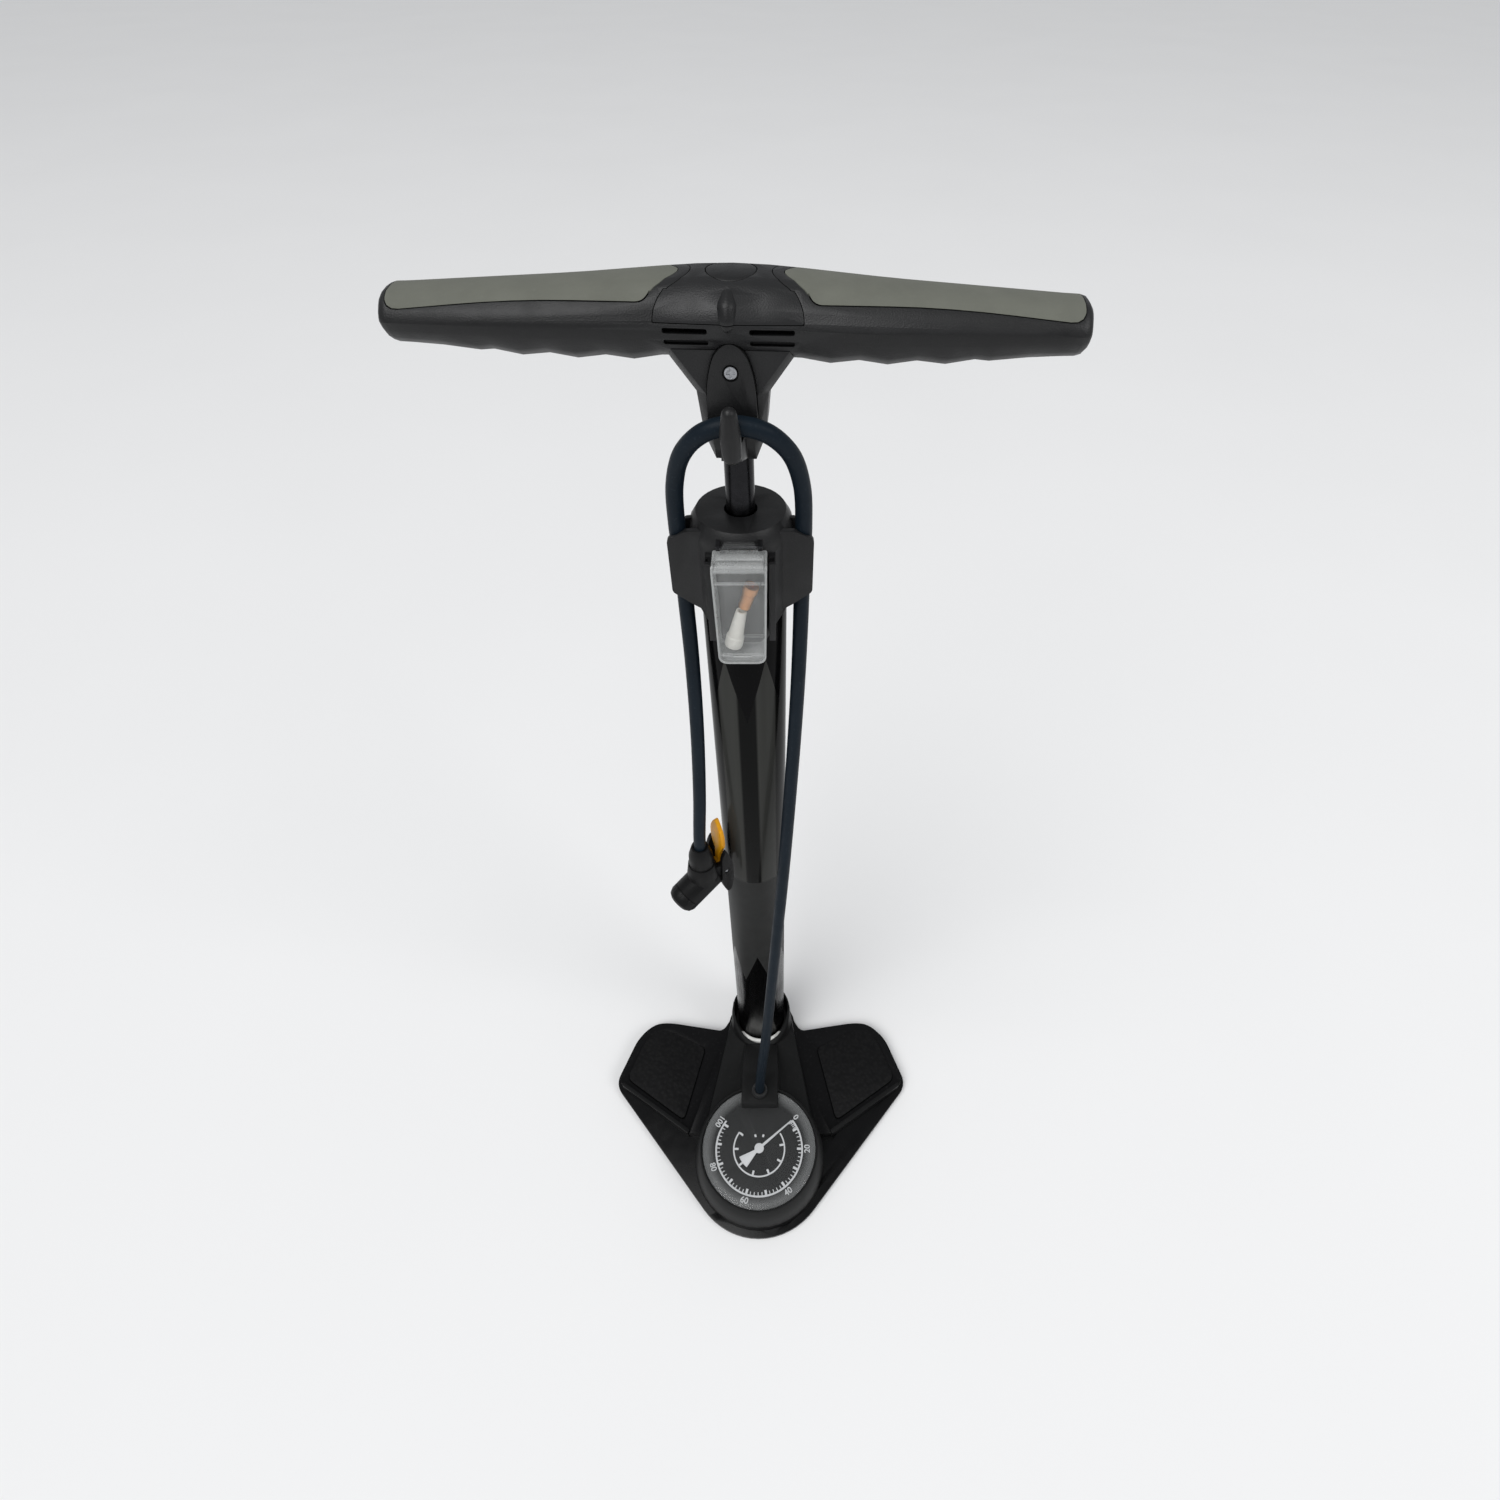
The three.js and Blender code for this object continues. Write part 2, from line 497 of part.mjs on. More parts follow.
const LID_PIN = [-23.6, 517.3]; // Y and Z of the hinge line
function caseLid() {
  const [py, pz] = LID_PIN;
  const outer = fronted(caseOutline(0, CASE_Z0, CASE_TOP, 4.2), CASE_Y0, CASE_Y1 - GAP, 6);
  const inner = fronted(caseOutline(CASE_WALL, CASE_Z0 + CASE_WALL, CASE_TOP - CASE_WALL, 3.2),
    CASE_Y0 + CASE_WALL, CASE_Y1 + 5, 6);
  const brow = hull([-1, 1].flatMap((s) => [v3(s * CASE_HALF, CASE_Y0 + 1.5, CASE_TOP),
    v3(s * CASE_HALF, CASE_Y0, CASE_TOP - 2), v3(s * CASE_HALF, CASE_Y0 + 4, CASE_TOP - 1),
    v3(s * 6, py - 0.4, CASE_Z1 - 0.4), v3(s * 6, py - 0.4, pz - 1.7)]));
  const knuckle = bar([-6, py, pz], [6, py, pz], 1.9, 18);
  const thumb = box(-4, 4, CASE_Y0 - 0.8, CASE_Y0 + 0.4, 470, 471.4);
  return cut(join(cut(outer, inner), brow, knuckle, thumb), bar([-30, py, pz], [30, py, pz], 1.1, 14));
}
add("case_lid", caseLid(), M.frosted);

// Wire hinge pin; its ends turn back towards the cap beside the knuckle.
function lidPin() {
  const [y, z] = LID_PIN;
  const ears = [-1, 1].map((s) => pair(s, 7.4, 9.2, y - 1.2, -19.2, z - 1.1, z + 1.1));
  return cut(join(bar([-8.8, y, z], [8.8, y, z], 0.75, 10), ...ears), disc(CAP_R + GAP, 500, 530, 40));
}
add("lid_pin", lidPin(), M.steel);

const adapters = new THREE.Group();
adapters.position.set(0, TRAY_Y - 5.2, 0);
pump.add(adapters);
const cone = add("cone_adapter", turned([[0, 0], [3.9, 0], [3.9, 5], [3.3, 5.6], [2.3, 18.6], [1.3, 18.6],
  [1.3, 6], [0, 6]], 14), M.cream, adapters);
cone.position.set(-4, 0, 470.6);
cone.rotation.y = 0.22;
const valveAdapter = add("valve_adapter", turned([[0, 0], [2.7, 0], [2.7, 7], [3.2, 7.6], [3.2, 11], [2.2, 11],
  [2.2, 5], [0, 5]], 14), M.brass, adapters);
valveAdapter.position.set(1.3, 0, 491);
valveAdapter.rotation.y = 0.31;

// ---------------------------------------------------------------- rod and piston
add("piston_rod", tube(ROD_R, ROD_BORE_R, ROD_Z0, ROD_Z1, 24), M.rodBlack);
add("piston", turned([[ROD_R + GAP + 0.1, ROD_Z0 - 1], [ROD_R + GAP + 0.1, 60], [11, 60], [12, 54], [16.8, 53],
  [16.8, 50.6], [14.2, 50.6], [14.2, 45.4], [16.8, 45.4], [16.8, PISTON_Z0 + 1], [2.7, PISTON_Z0 + 1],
  [2.7, ROD_Z0 - 1], [ROD_R + GAP + 0.1, ROD_Z0 - 1]], 24), M.nylon);
add("piston_seal", tube(17.2, 14.7, 45.7, 50.3, 28), M.rubber);
add("piston_bolt", join(disc(2.3, PISTON_Z0 + 0.9, 62, 14), disc(4.2, PISTON_Z0 + 6.4, 62, 18)), M.steel);
add("rod_bumper", tube(11, ROD_R + GAP + 0.1, 60.3, 69, 20), M.rubber);

// ---------------------------------------------------------------- handle
const handle = new THREE.Group();
handle.rotation.z = HANDLE_TURN;
pump.add(handle);

// The grip thins and drops a little from the middle to its ends, with four finger bumps underneath.
const share = (x) => Math.abs(x) / HANDLE_HALF;
const gripDepth = (x) => 18 - 6 * share(x) ** 1.3;
const gripHeight = (x) => 13 - 4.7 * share(x) ** 1.6;
const gripZ = (x) => 593 + 2.6 * Math.exp(-((x / 40) ** 2));
const BUMP_PITCH = 19.5;
function bump(x) {
  const along = (Math.abs(x) - 24) / BUMP_PITCH;
  return along > 0 && along < 3.5 ? 1.1 * Math.sin(along * 2 * Math.PI - Math.PI / 2) + 1.1 : 0;
}

// Half a grip section [depth, height] from crown to underside, widest at the edge below the crease.
const GRIP_SECTION = [[0, 1], [0.36, 0.965], [0.56, 0.86], [0.7, 0.71], [0.87, 0.46], [0.97, 0.24], [1, 0.1],
  [0.93, -0.22], [0.78, -0.56], [0.55, -0.83], [0.28, -0.96], [0, -1]];

function gripRing(x, inset = 0) {
  const [a, b, z] = [gripDepth(x) - inset, gripHeight(x) - inset, gripZ(x)];
  const height = (k) => z + b * k - (k < -0.5 ? bump(x) * 0.6 : 0);
  const front = GRIP_SECTION.map(([d, k]) => v3(x, -a * d, height(k)));
  const back = GRIP_SECTION.slice(1, -1).map(([d, k]) => v3(x, a * d, height(k))).reverse();
  return [...front, ...back];
}

function gripEnd(side, inset) {
  return [[115.6, 0.1], [117.6, 0.7], [118.7, 1.9], [HANDLE_HALF, 3.4]].map(([x, r]) =>
    gripRing(side * 112, inset + r).map((p) => p.setX(side * (x - inset))));
}
function grip(inset = 0, step = BUMP_PITCH / 4) {
  const stations = [12, 24];
  for (let x = 24 + step; x < 24 + 3.5 * BUMP_PITCH; x += step) stations.push(x);
  stations.push(100, 110);
  const rings = stations.map((x) => gripRing(x, inset));
  const left = stations.map((x) => gripRing(-x, inset)).reverse();
  return loft([...gripEnd(-1, inset).reverse(), ...left, gripRing(0, inset), ...rings, ...gripEnd(1, inset)]);
}

// Border of a piece across the crown, in X and Y: it arches in towards the middle of the grip.
const CROWN_Y = 10.4;
const crownLine = (edge, middle, inner, y) => [[edge, -y, 0], [middle, -6.5, 4], [inner, 0, 6],
  [middle, 6.5, 4], [edge, y, 0]];

// Front outline of a soft insert: a long tongue with a round outer end and a curved inner border.
const INSERT = [[25.2, 625, 0], [25.2, 605.5, 2], [28, 602.4, 2.5], [72, 601.3, 20], [116.3, 597.2, 5.5],
  [115.4, 606, 4], [113.5, 625, 0]];
function insertOutline(side, grow = 0) {
  const grown = INSERT.map(([x, z, r]) => [x + (x < 60 ? -grow : grow), z - grow, r]);
  const y = CROWN_Y + grow;
  const crown = [[28, -y, 0], [28, y, 0], ...crownLine(25.4 - grow, 21.2 - grow, 16.4 - grow, y).reverse()];
  const [front, top] = [grown, crown].map((o) => rounded(side > 0 ? o : mirrored(o)));
  return join(fronted(front, -40, 40, 4), raised(top, 604 - grow, 625, 3));
}
const INSERT_DEPTH = 2.2;
const gripOuter = grip();
const gripCore = grip(INSERT_DEPTH, 19.5);
const pocketFloor = grip(INSERT_DEPTH + GAP, 19.5);

// Right half of the cover over the middle of the grip: its sides arch in towards the crown.
const COVER_SIDE = [[24.6, 597.6, 0.6], [24.3, 600.6, 4], [22.7, 603.8, 4], [19.9, 606.4, 2], [19.9, 625, 0]];
function coverOutline(grow) {
  const right = COVER_SIDE.map(([x, z, r]) => [x + grow, z < 600 ? z - grow : z, r]);
  const y = CROWN_Y - grow;
  const above = [[30, -40, 0], [30, -y, 0], ...crownLine(19.9 + grow, 15.2 + grow, 12.7 + grow, y),
    [30, y, 0], [30, 40, 0]];
  return fronted(rounded([...right, ...mirrored(right)]), -40, 40, 4)
    .intersect(raised(rounded([...above, ...mirrored(above)]), 580, 640, 3));
}

// A seed-shaped rib down the front of the grip, under the plug. The cover's lower seam crosses it.
const FRONT_RIB = [[-11.6, 604, 2.2], [-14, 600.8, 3.7], [-15.8, 598.2, 3.2], [-17.2, 596.8, 1.8]];
const ribbedGrip = join(gripOuter, hull(FRONT_RIB.flatMap(([y, z, r]) => ballPoints(-0.3, y, z, r))));

function neck() {
  const waist = (z) => [-1, 1].flatMap((s) => [v3(s * 12.8, -11, z), v3(s * 12.8, 12, z),
    v3(s * 9, -14, z), v3(s * 9, 14, z)]);
  const flare = hull([...waist(573), ...[-1, 1].flatMap((s) => [v3(s * 21.3, -11, 585),
    v3(s * 21.3, 12, 585), v3(s * 20, -14, 588), v3(s * 20, 14, 588)])]);
  const post = hull([...waist(573.4), ...[-1, 1].flatMap((s) => [v3(s * 11.4, -8.5, 556),
    v3(s * 11.4, 10, 556), v3(s * 7.4, -13, 554), v3(s * 8, 13.4, 554),
    v3(s * 7.6, -8, NECK_Z0), v3(s * 7.6, 8, NECK_Z0)])]);
  return join(flare, post);
}

// Front outline of the plate that closes the neck above the hook.
const PLATE_OUTLINE = [[-9, 560.9, 0.5], [9, 560.9, 0.5], [8.4, 578, 5], [5.5, 587.6, 4], [0, 591.6, 5],
  [-5.5, 587.6, 4], [-8.4, 578, 5]];
const PLATE_Y = [-15.6, -13.4];
const HOOK_SCREW_Z = 581;

// The hook grows from the foot of the neck: a floor under the hose and a tongue in front of it.
function hoseHook() {
  const root = hull([-1, 1].flatMap((s) => [v3(s * 4.6, -10, 547.5), v3(s * 4.6, -10, HOOK_FLOOR - 1),
    v3(s * 3.6, -24.7, 554), v3(s * 3.6, -24.7, HOOK_FLOOR), v3(s * 4.6, -13, HOOK_FLOOR)]));
  const tongue = hull([...ballPoints(0, -25.6, 571.4, 2.8), ...ballPoints(0, -25.3, 564.5, 3.9),
    ...ballPoints(0.3, -24.8, 556.4, 3.6)]);
  return join(root, cut(tongue, box(-9, 9, HOOK_INSIDE, 0, HOOK_FLOOR - 3, 590)));
}

const SLOT_Z = [595.1, 590.9]; // two vents on each side under the cover

function handleBody() {
  const slot = (z) => [[6.9, z - 1, 0.9], [21.8, z - 1, 0.9], [21.8, z + 1, 0.9], [6.9, z + 1, 0.9]];
  const slots = SLOT_Z.flatMap((z) => [slot(z), mirrored(slot(z))])
    .map((outline) => fronted(rounded(outline), -24, -12.8, 3));
  const pockets = [insertOutline(-1, GAP), insertOutline(1, GAP), coverOutline(GAP)]
    .map((outline) => cut(outline, pocketFloor));
  const rodRoom = disc(ROD_R + GAP + 0.1, 500, ROD_Z1 + GAP, 28);
  const boltRoom = join(disc(3.2, 560, 600, 16), disc(6, 598, 640, 24));
  const plateRoom = fronted(rounded(PLATE_OUTLINE.map(([x, z, r]) =>
    [x * 1.045, z + Math.sign(z - 575) * GAP, r])), -30, PLATE_Y[1] + GAP);
  const screwRoom = bar([0, -20, HOOK_SCREW_Z], [0, -8.6, HOOK_SCREW_Z], 1.6, 12);
  const grown = cut(join(ribbedGrip, neck()), ...slots, ...pockets, boltRoom, plateRoom, screwRoom);
  return cut(join(grown, hoseHook()), rodRoom);
}
add("handle_body", handleBody(), M.nylon, handle);

function hookPlate() {
  const [y0, y1] = PLATE_Y;
  const screwRoom = join(bar([0, -30, HOOK_SCREW_Z], [0, 0, HOOK_SCREW_Z], 1.6, 12),
    bar([0, -30, HOOK_SCREW_Z], [0, y0 + 1.3, HOOK_SCREW_Z], 2.9, 18));
  return cut(fronted(rounded(PLATE_OUTLINE), y0, y1), screwRoom);
}
add("hook_plate", hookPlate(), M.nylon, handle);

function plateScrew() {
  const z = HOOK_SCREW_Z;
  const y = PLATE_Y[0] + 0.2;
  const body = join(bar([0, y, z], [0, y + 0.8, z], 2.2, 18), bar([0, y + 0.5, z], [0, -9, z], 1.25, 10));
  const cross = [[0.35, 1.6], [1.6, 0.35]].map(([a, b]) => box(-a, a, y - 1, y + 0.4, z - b, z + b));
  return cut(body, ...cross);
}
add("plate_screw", plateScrew(), M.steel, handle);

add("grip_insert_left", cut(gripOuter.intersect(insertOutline(-1)), gripCore), M.grip, handle);
add("grip_insert_right", cut(gripOuter.intersect(insertOutline(1)), gripCore), M.grip, handle);

// A round plug closes the bolt hole in the cover's crown.
const PLUG_R = 8.4;
add("handle_cover", cut(ribbedGrip.intersect(coverOutline(0)), gripCore, disc(PLUG_R + GAP, 596, 640, 24)),
  M.nylon, handle);
add("cover_plug", gripOuter.intersect(disc(PLUG_R, 606.4, 640, 24)), M.nylon, handle);
add("handle_bolt", join(disc(2.8, 575, 599, 14), disc(5.2, 598.4, 603, 20)), M.steel, handle);

// ---------------------------------------------------------------- pump head
// Built with the hose's line as Z and the nozzle leaving towards +X, dipped below level.
const head = new THREE.Group();
head.position.set(...HEAD_AT);
head.rotation.z = THREE.MathUtils.degToRad(HEAD_TURN);
pump.add(head);
const nozzle = new THREE.Group();
nozzle.rotation.y = THREE.MathUtils.degToRad(NOZZLE_DIP);
head.add(nozzle);

const PIVOT = [-11.8, 0, 6.5]; // lever pivot, on the nozzle's line behind the hose
const onX = (body) => body.rotate([0, 90, 0]);
const dipped = (body) => body.rotate([0, NOZZLE_DIP, 0]);
const acrossPivot = (half, radius, sides) =>
  bar([PIVOT[0], -half, PIVOT[2]], [PIVOT[0], half, PIVOT[2]], radius, sides);

function headBody() {
  const elbow = dipped(onX(turned([[0, -8.4], [7.2, -8.4], [9.3, -5.4], [9.3, 13.6], [0, 13.6]], 24)));
  const stem = turned([[0, 0], [9.2, 0], [9.2, 8], [8, 16.6], [0, 16.6]], 24);
  const ear = [[-12.4, 27, 2], [-9, 21, 4], [-8, -5, 4], [-11, -14.5, 2], [-14, -14.5, 2], [-16.3, -4, 4],
    [-16.3, 13, 5]];
  const ears = [6.2, -8.6].map((y) => fronted(rounded(ear), y, y + 2.4, 4));
  const cheeks = [-1, 1].map((s) => hull([v3(-16, s * 3.2, 1), v3(-16, s * 3.2, 11), v3(-3, s * 3.2, 14),
    v3(-3, s * 3.2, -4), v3(-11, s * 3.2, -5), v3(-16, s * 6.6, 1), v3(-16, s * 6.6, 11), v3(-3, s * 6.6, 13),
    v3(-3, s * 6.6, -3), v3(-11, s * 6.6, -5)]));
  const slot = box(-30, -7.2, -3.2, 3.2, -30, 40);
  const bore = dipped(join(onX(disc(5.5, -2.6, 20, 20)), onX(disc(2.1, -12, 0, 12))));
  const blank = cut(join(elbow, stem, ...cheeks, ...ears), slot);
  return cut(blank, bore, acrossPivot(20, 1.5, 12), disc(1.8, 0, 20, 10));
}
add("head_body", headBody(), M.nylon, head);
const HEAD_CAM_R = 4.2;
const CAM_FACE = -Math.hypot(PIVOT[0], PIVOT[2]) + HEAD_CAM_R + GAP; // where the plunger's tail meets the cam
add("head_plunger", onX(join(disc(4.9, -2.2, 0, 20), disc(1.7, CAM_FACE, -2, 10))), M.nylon, nozzle);
add("nozzle_grommet", onX(tube(5.1, 4.4, 1, 13.2, 24)), M.rubber, nozzle);

// Ribbed nut over the open end of the nozzle.
function nozzleCap() {
  const nut = onX(turned([[4.3, 13.9], [9.3, 13.9], [9.3, 17.4], [8.2, 20], [6.2, 21.4], [4.3, 21.4],
    [4.3, 13.9]], 24));
  const grooves = Array.from({ length: 10 }, (_, i) => {
    const a = (i / 10) * 2 * Math.PI;
    return bar([12, 9.7 * Math.cos(a), 9.7 * Math.sin(a)], [24, 9.7 * Math.cos(a), 9.7 * Math.sin(a)], 0.8, 6);
  });
  return cut(nut, ...grooves);
}
add("nozzle_cap", nozzleCap(), M.nylon, nozzle);
add("hose_ferrule", cut(turned([[0, 17], [7.4, 17], [7, 25], [5, 32.4], [0, 32.4]], 24),
  hoseWay.translate(HEAD_AT.map((c) => -c)).rotate([0, 0, -HEAD_TURN]), disc(1.8, 10, 30, 12),
  disc(HOSE_R + 0.4, 19.3, 21, HOSE_SIDES)), M.nylon, head);

// Thumb lever: a cam between the cheeks, a narrow stem and a flat leaf that lies along the hose.
function headLever() {
  const [px, , pz] = PIVOT;
  const cam = acrossPivot(2.8, HEAD_CAM_R, 18);
  const stem = hull([-1, 1].flatMap((s) => [v3(px - 2.6, s * 2.6, pz), v3(px + 1.4, s * 2.6, pz),
    v3(px - 1.8, s * 2, 26), v3(px + 0.6, s * 2, 26)]));
  const leaf = rounded([[-2, 18, 1], [2, 18, 1], [5.7, 27, 4], [5.6, 39, 5], [0, 50.4, 4], [-5.6, 39, 5],
    [-5.7, 27, 4]]);
  const paddle = fronted(leaf, -1.2, 1.2, 4).rotate([0, 0, 90]).translate([px - 0.6, 0, 0]);
  return cut(join(cam, stem, paddle), acrossPivot(20, 1.5, 12));
}
add("head_lever", headLever(), M.lever, head);
add("lever_pin", acrossPivot(8.2, 1.15, 12), M.steel, head);

export default pump;
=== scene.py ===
"""Looks of a bicycle track pump with a gauge in its foot. Metres, +Z up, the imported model's frame."""

import math

import bmesh
import bpy
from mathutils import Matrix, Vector


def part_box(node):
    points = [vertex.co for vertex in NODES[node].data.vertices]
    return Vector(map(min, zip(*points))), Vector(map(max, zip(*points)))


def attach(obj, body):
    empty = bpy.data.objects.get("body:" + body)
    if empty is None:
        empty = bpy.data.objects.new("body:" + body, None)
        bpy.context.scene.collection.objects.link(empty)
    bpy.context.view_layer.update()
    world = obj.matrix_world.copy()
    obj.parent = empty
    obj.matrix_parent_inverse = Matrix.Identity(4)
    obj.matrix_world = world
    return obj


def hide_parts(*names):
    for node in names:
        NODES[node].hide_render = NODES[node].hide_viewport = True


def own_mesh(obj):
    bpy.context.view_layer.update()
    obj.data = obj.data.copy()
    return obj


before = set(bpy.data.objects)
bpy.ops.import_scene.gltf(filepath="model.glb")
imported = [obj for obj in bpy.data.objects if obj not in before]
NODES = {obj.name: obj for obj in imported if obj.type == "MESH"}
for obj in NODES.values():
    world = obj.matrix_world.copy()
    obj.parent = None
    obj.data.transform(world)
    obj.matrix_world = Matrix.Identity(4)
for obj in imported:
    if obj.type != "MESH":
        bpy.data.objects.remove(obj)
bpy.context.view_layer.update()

MM = 0.001

# ---------------------------------------------------------------- sizes
CAMERA_AT = (0.016, -0.294, 0.702)
CAMERA_DIP = 48  # degrees below level, looking along +Y
CAMERA_LENS = 19.54
CAMERA_SENSOR = 36
CAMERA_SHIFT = (-0.020, -0.0033)

AIR_COLOUR = (0.95, 0.97, 1, 1)
AIR_STRENGTH = 0.36
SKY_STRENGTH = 1.15
SKY_SPREAD = 50  # degrees that the sky light's disc spans
SKY_TILT = (24, -20)  # degrees about X and Y
LAMPS = {  # place, aim, size in metres and watts
    "key": ((-1.7, -2.2, 4.4), (0, 0, 0.4), 3.0, 80),
    "fill": ((3.0, -1.6, 3.2), (0, 0, 0.35), 2.1, 45),
}
FLOOR_REACH = 20  # from the middle to each side

HOSE_R = 3.5 * MM
HOSE_STEPS = 12  # points of the drawn curve to each stretch of the route
HOSE_ROUTE_MM = [
    (0, -67, 40), (0.6, -66.5, 60), (2.6, -64.5, 90), (5.6, -60.5, 125), (9, -53.5, 172),
    (13, -43.5, 228), (17.6, -32, 292), (21.2, -21.5, 355), (23.4, -14.5, 400), (24.8, -9.8, 440),
    (25.4, -6.9, 478), (25.4, -6.6, 498), (25.6, -8.4, 518), (24.2, -11.6, 538), (19.4, -16.2, 553),
    (10.5, -20, 562.6), (0, -20.6, 565.2), (-10.5, -20, 562.6), (-19.4, -16.2, 553),
    (-24.2, -11.6, 538), (-25.6, -8.4, 518), (-25.4, -6.6, 498), (-25.4, -6.9, 478),
    (-25.2, -9, 445), (-25.8, -14, 400), (-27.6, -20, 355), (-29.6, -24.4, 324),
    (-30, -25, 312), (-30, -25, 303.6),
]

SPRING_WIRE = 0.7 * MM
SPRING_TURNS = 4
SPRING_STEPS = 20  # to each turn
SPRING_SIDES = 8

GAUGE_CENTRE = Vector((0, -0.106, 0))
LENS_RIM_REFLECTION = (34 * MM, 40 * MM)  # the radii over which the rim's paler ring sets in: painted reflection of the curved rim
PRINT_DEPTH = 0.06 * MM
PRINT_LIFT = 0.04 * MM  # over the dial
SCALE_START = -39  # degrees, clockwise from +X, where both scales begin
SCALE_END = 218
PSI_RADIUS = 33 * MM
PSI_SPREAD = (10, 1.24, 2.66)  # a value, and the degrees to each unit below it and above it
PSI_LINE = 1.3 * MM
PSI_MAIN_TICK = (3.4 * MM, 1.7 * MM)  # length and width
PSI_TICK = (2.3 * MM, 0.6 * MM)
TICK_OVERLAP = 0.1 * MM  # of a tick and its scale's line
BAR_RADIUS = 19.5 * MM
BAR_SPREAD = (1, 30, 37.7)
BAR_LINE = 1.1 * MM
BAR_LINE_START = SCALE_START + 4
BAR_TICK = (3.2 * MM, 1.5 * MM)
DOT_RADIUS = 10.8 * MM
DOT_ANGLES = (-72, -108)
DOT = (1.9 * MM, 1.5 * MM)
NUMBER_SIZE = 6 * MM
NUMBER_BOLD = 0.12 * MM  # how far each outline is pushed out; a little more breaks the 6
NUMBER_OUT = 4 * MM  # from the scale's line to the middle of a number

SLEEVE_POINTS = 6  # round the barrel's printed sleeve
SLEEVE_FOOT = (131 * MM, 171 * MM)  # the lowest and highest places of its lower, pointed end
SLEEVE_HEAD = (412 * MM, 452 * MM)
SLEEVE_SEAM = 268 * MM  # where its painted reflection stripes begin
DECK_TOP = (13.5 * MM, 15.5 * MM)  # where the foot's finish changes
RING_FRONT = -13 * MM

CASE_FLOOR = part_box("case_lid")[0].z
CASE_FLAT = (465.5 * MM, 514 * MM)  # heights between which the case's flat front widens
CASE_FLAT_HALF = (5.9 * MM, 6.8 * MM)
CASE_CORNER = 4.2 * MM
CASE_LINES = ((513.3, 1.2), (507.2, 0.5), (470.2, 0.5))  # height and half width, millimetres
CASE_BROW_SHADE = (514.2 * MM, 515 * MM)  # heights where the lid fades under the cap's brow, painted shade


# ---------------------------------------------------------------- camera, floor and light
def link(thing):
    bpy.context.scene.collection.objects.link(thing)
    return thing


def make_camera():
    data = bpy.data.cameras.new("camera")
    data.sensor_width = CAMERA_SENSOR
    data.lens = CAMERA_LENS
    data.shift_x, data.shift_y = CAMERA_SHIFT
    data.clip_start = 0.01
    camera = link(bpy.data.objects.new("camera", data))
    camera.location = CAMERA_AT
    camera.rotation_euler = (math.radians(90 - CAMERA_DIP), 0, 0)
    bpy.context.scene.camera = camera


def area_light(name, place, aim, size, watts):
    data = bpy.data.lights.new(name, "AREA")
    data.shape = "DISK"
    data.size = size
    data.energy = watts
    lamp = link(bpy.data.objects.new(name, data))
    lamp.location = place
    lamp.rotation_euler = (Vector(aim) - Vector(place)).to_track_quat("-Z", "Y").to_euler()


def make_lights():
    bpy.context.scene.view_settings.view_transform = "Standard"
    world = bpy.data.worlds.new("studio")
    world.use_nodes = True
    background = world.node_tree.nodes["Background"]
    background.inputs["Color"].default_value = AIR_COLOUR
    background.inputs["Strength"].default_value = AIR_STRENGTH
    bpy.context.scene.world = world
    sky = bpy.data.lights.new("sky", "SUN")
    sky.energy = SKY_STRENGTH
    sky.angle = math.radians(SKY_SPREAD)
    link(bpy.data.objects.new("sky", sky)).rotation_euler = (*map(math.radians, SKY_TILT), 0)
    for name, settings in LAMPS.items():
        area_light(name, *settings)


def make_floor():
    mesh = bpy.data.meshes.new("floor")
    shape = bmesh.new()
    bmesh.ops.create_grid(shape, x_segments=1, y_segments=1, size=FLOOR_REACH)
    shape.to_mesh(mesh)
    shape.free()
    floor = link(bpy.data.objects.new("floor", mesh))
    surface = Surface("floor_paper", 0.9)
    cloud = surface.noise(0.4, 2)
    surface.colour(surface.blend(cloud, (0.84, 0.84, 0.84), (0.87, 0.87, 0.87)))
    mesh.materials.append(surface.material)


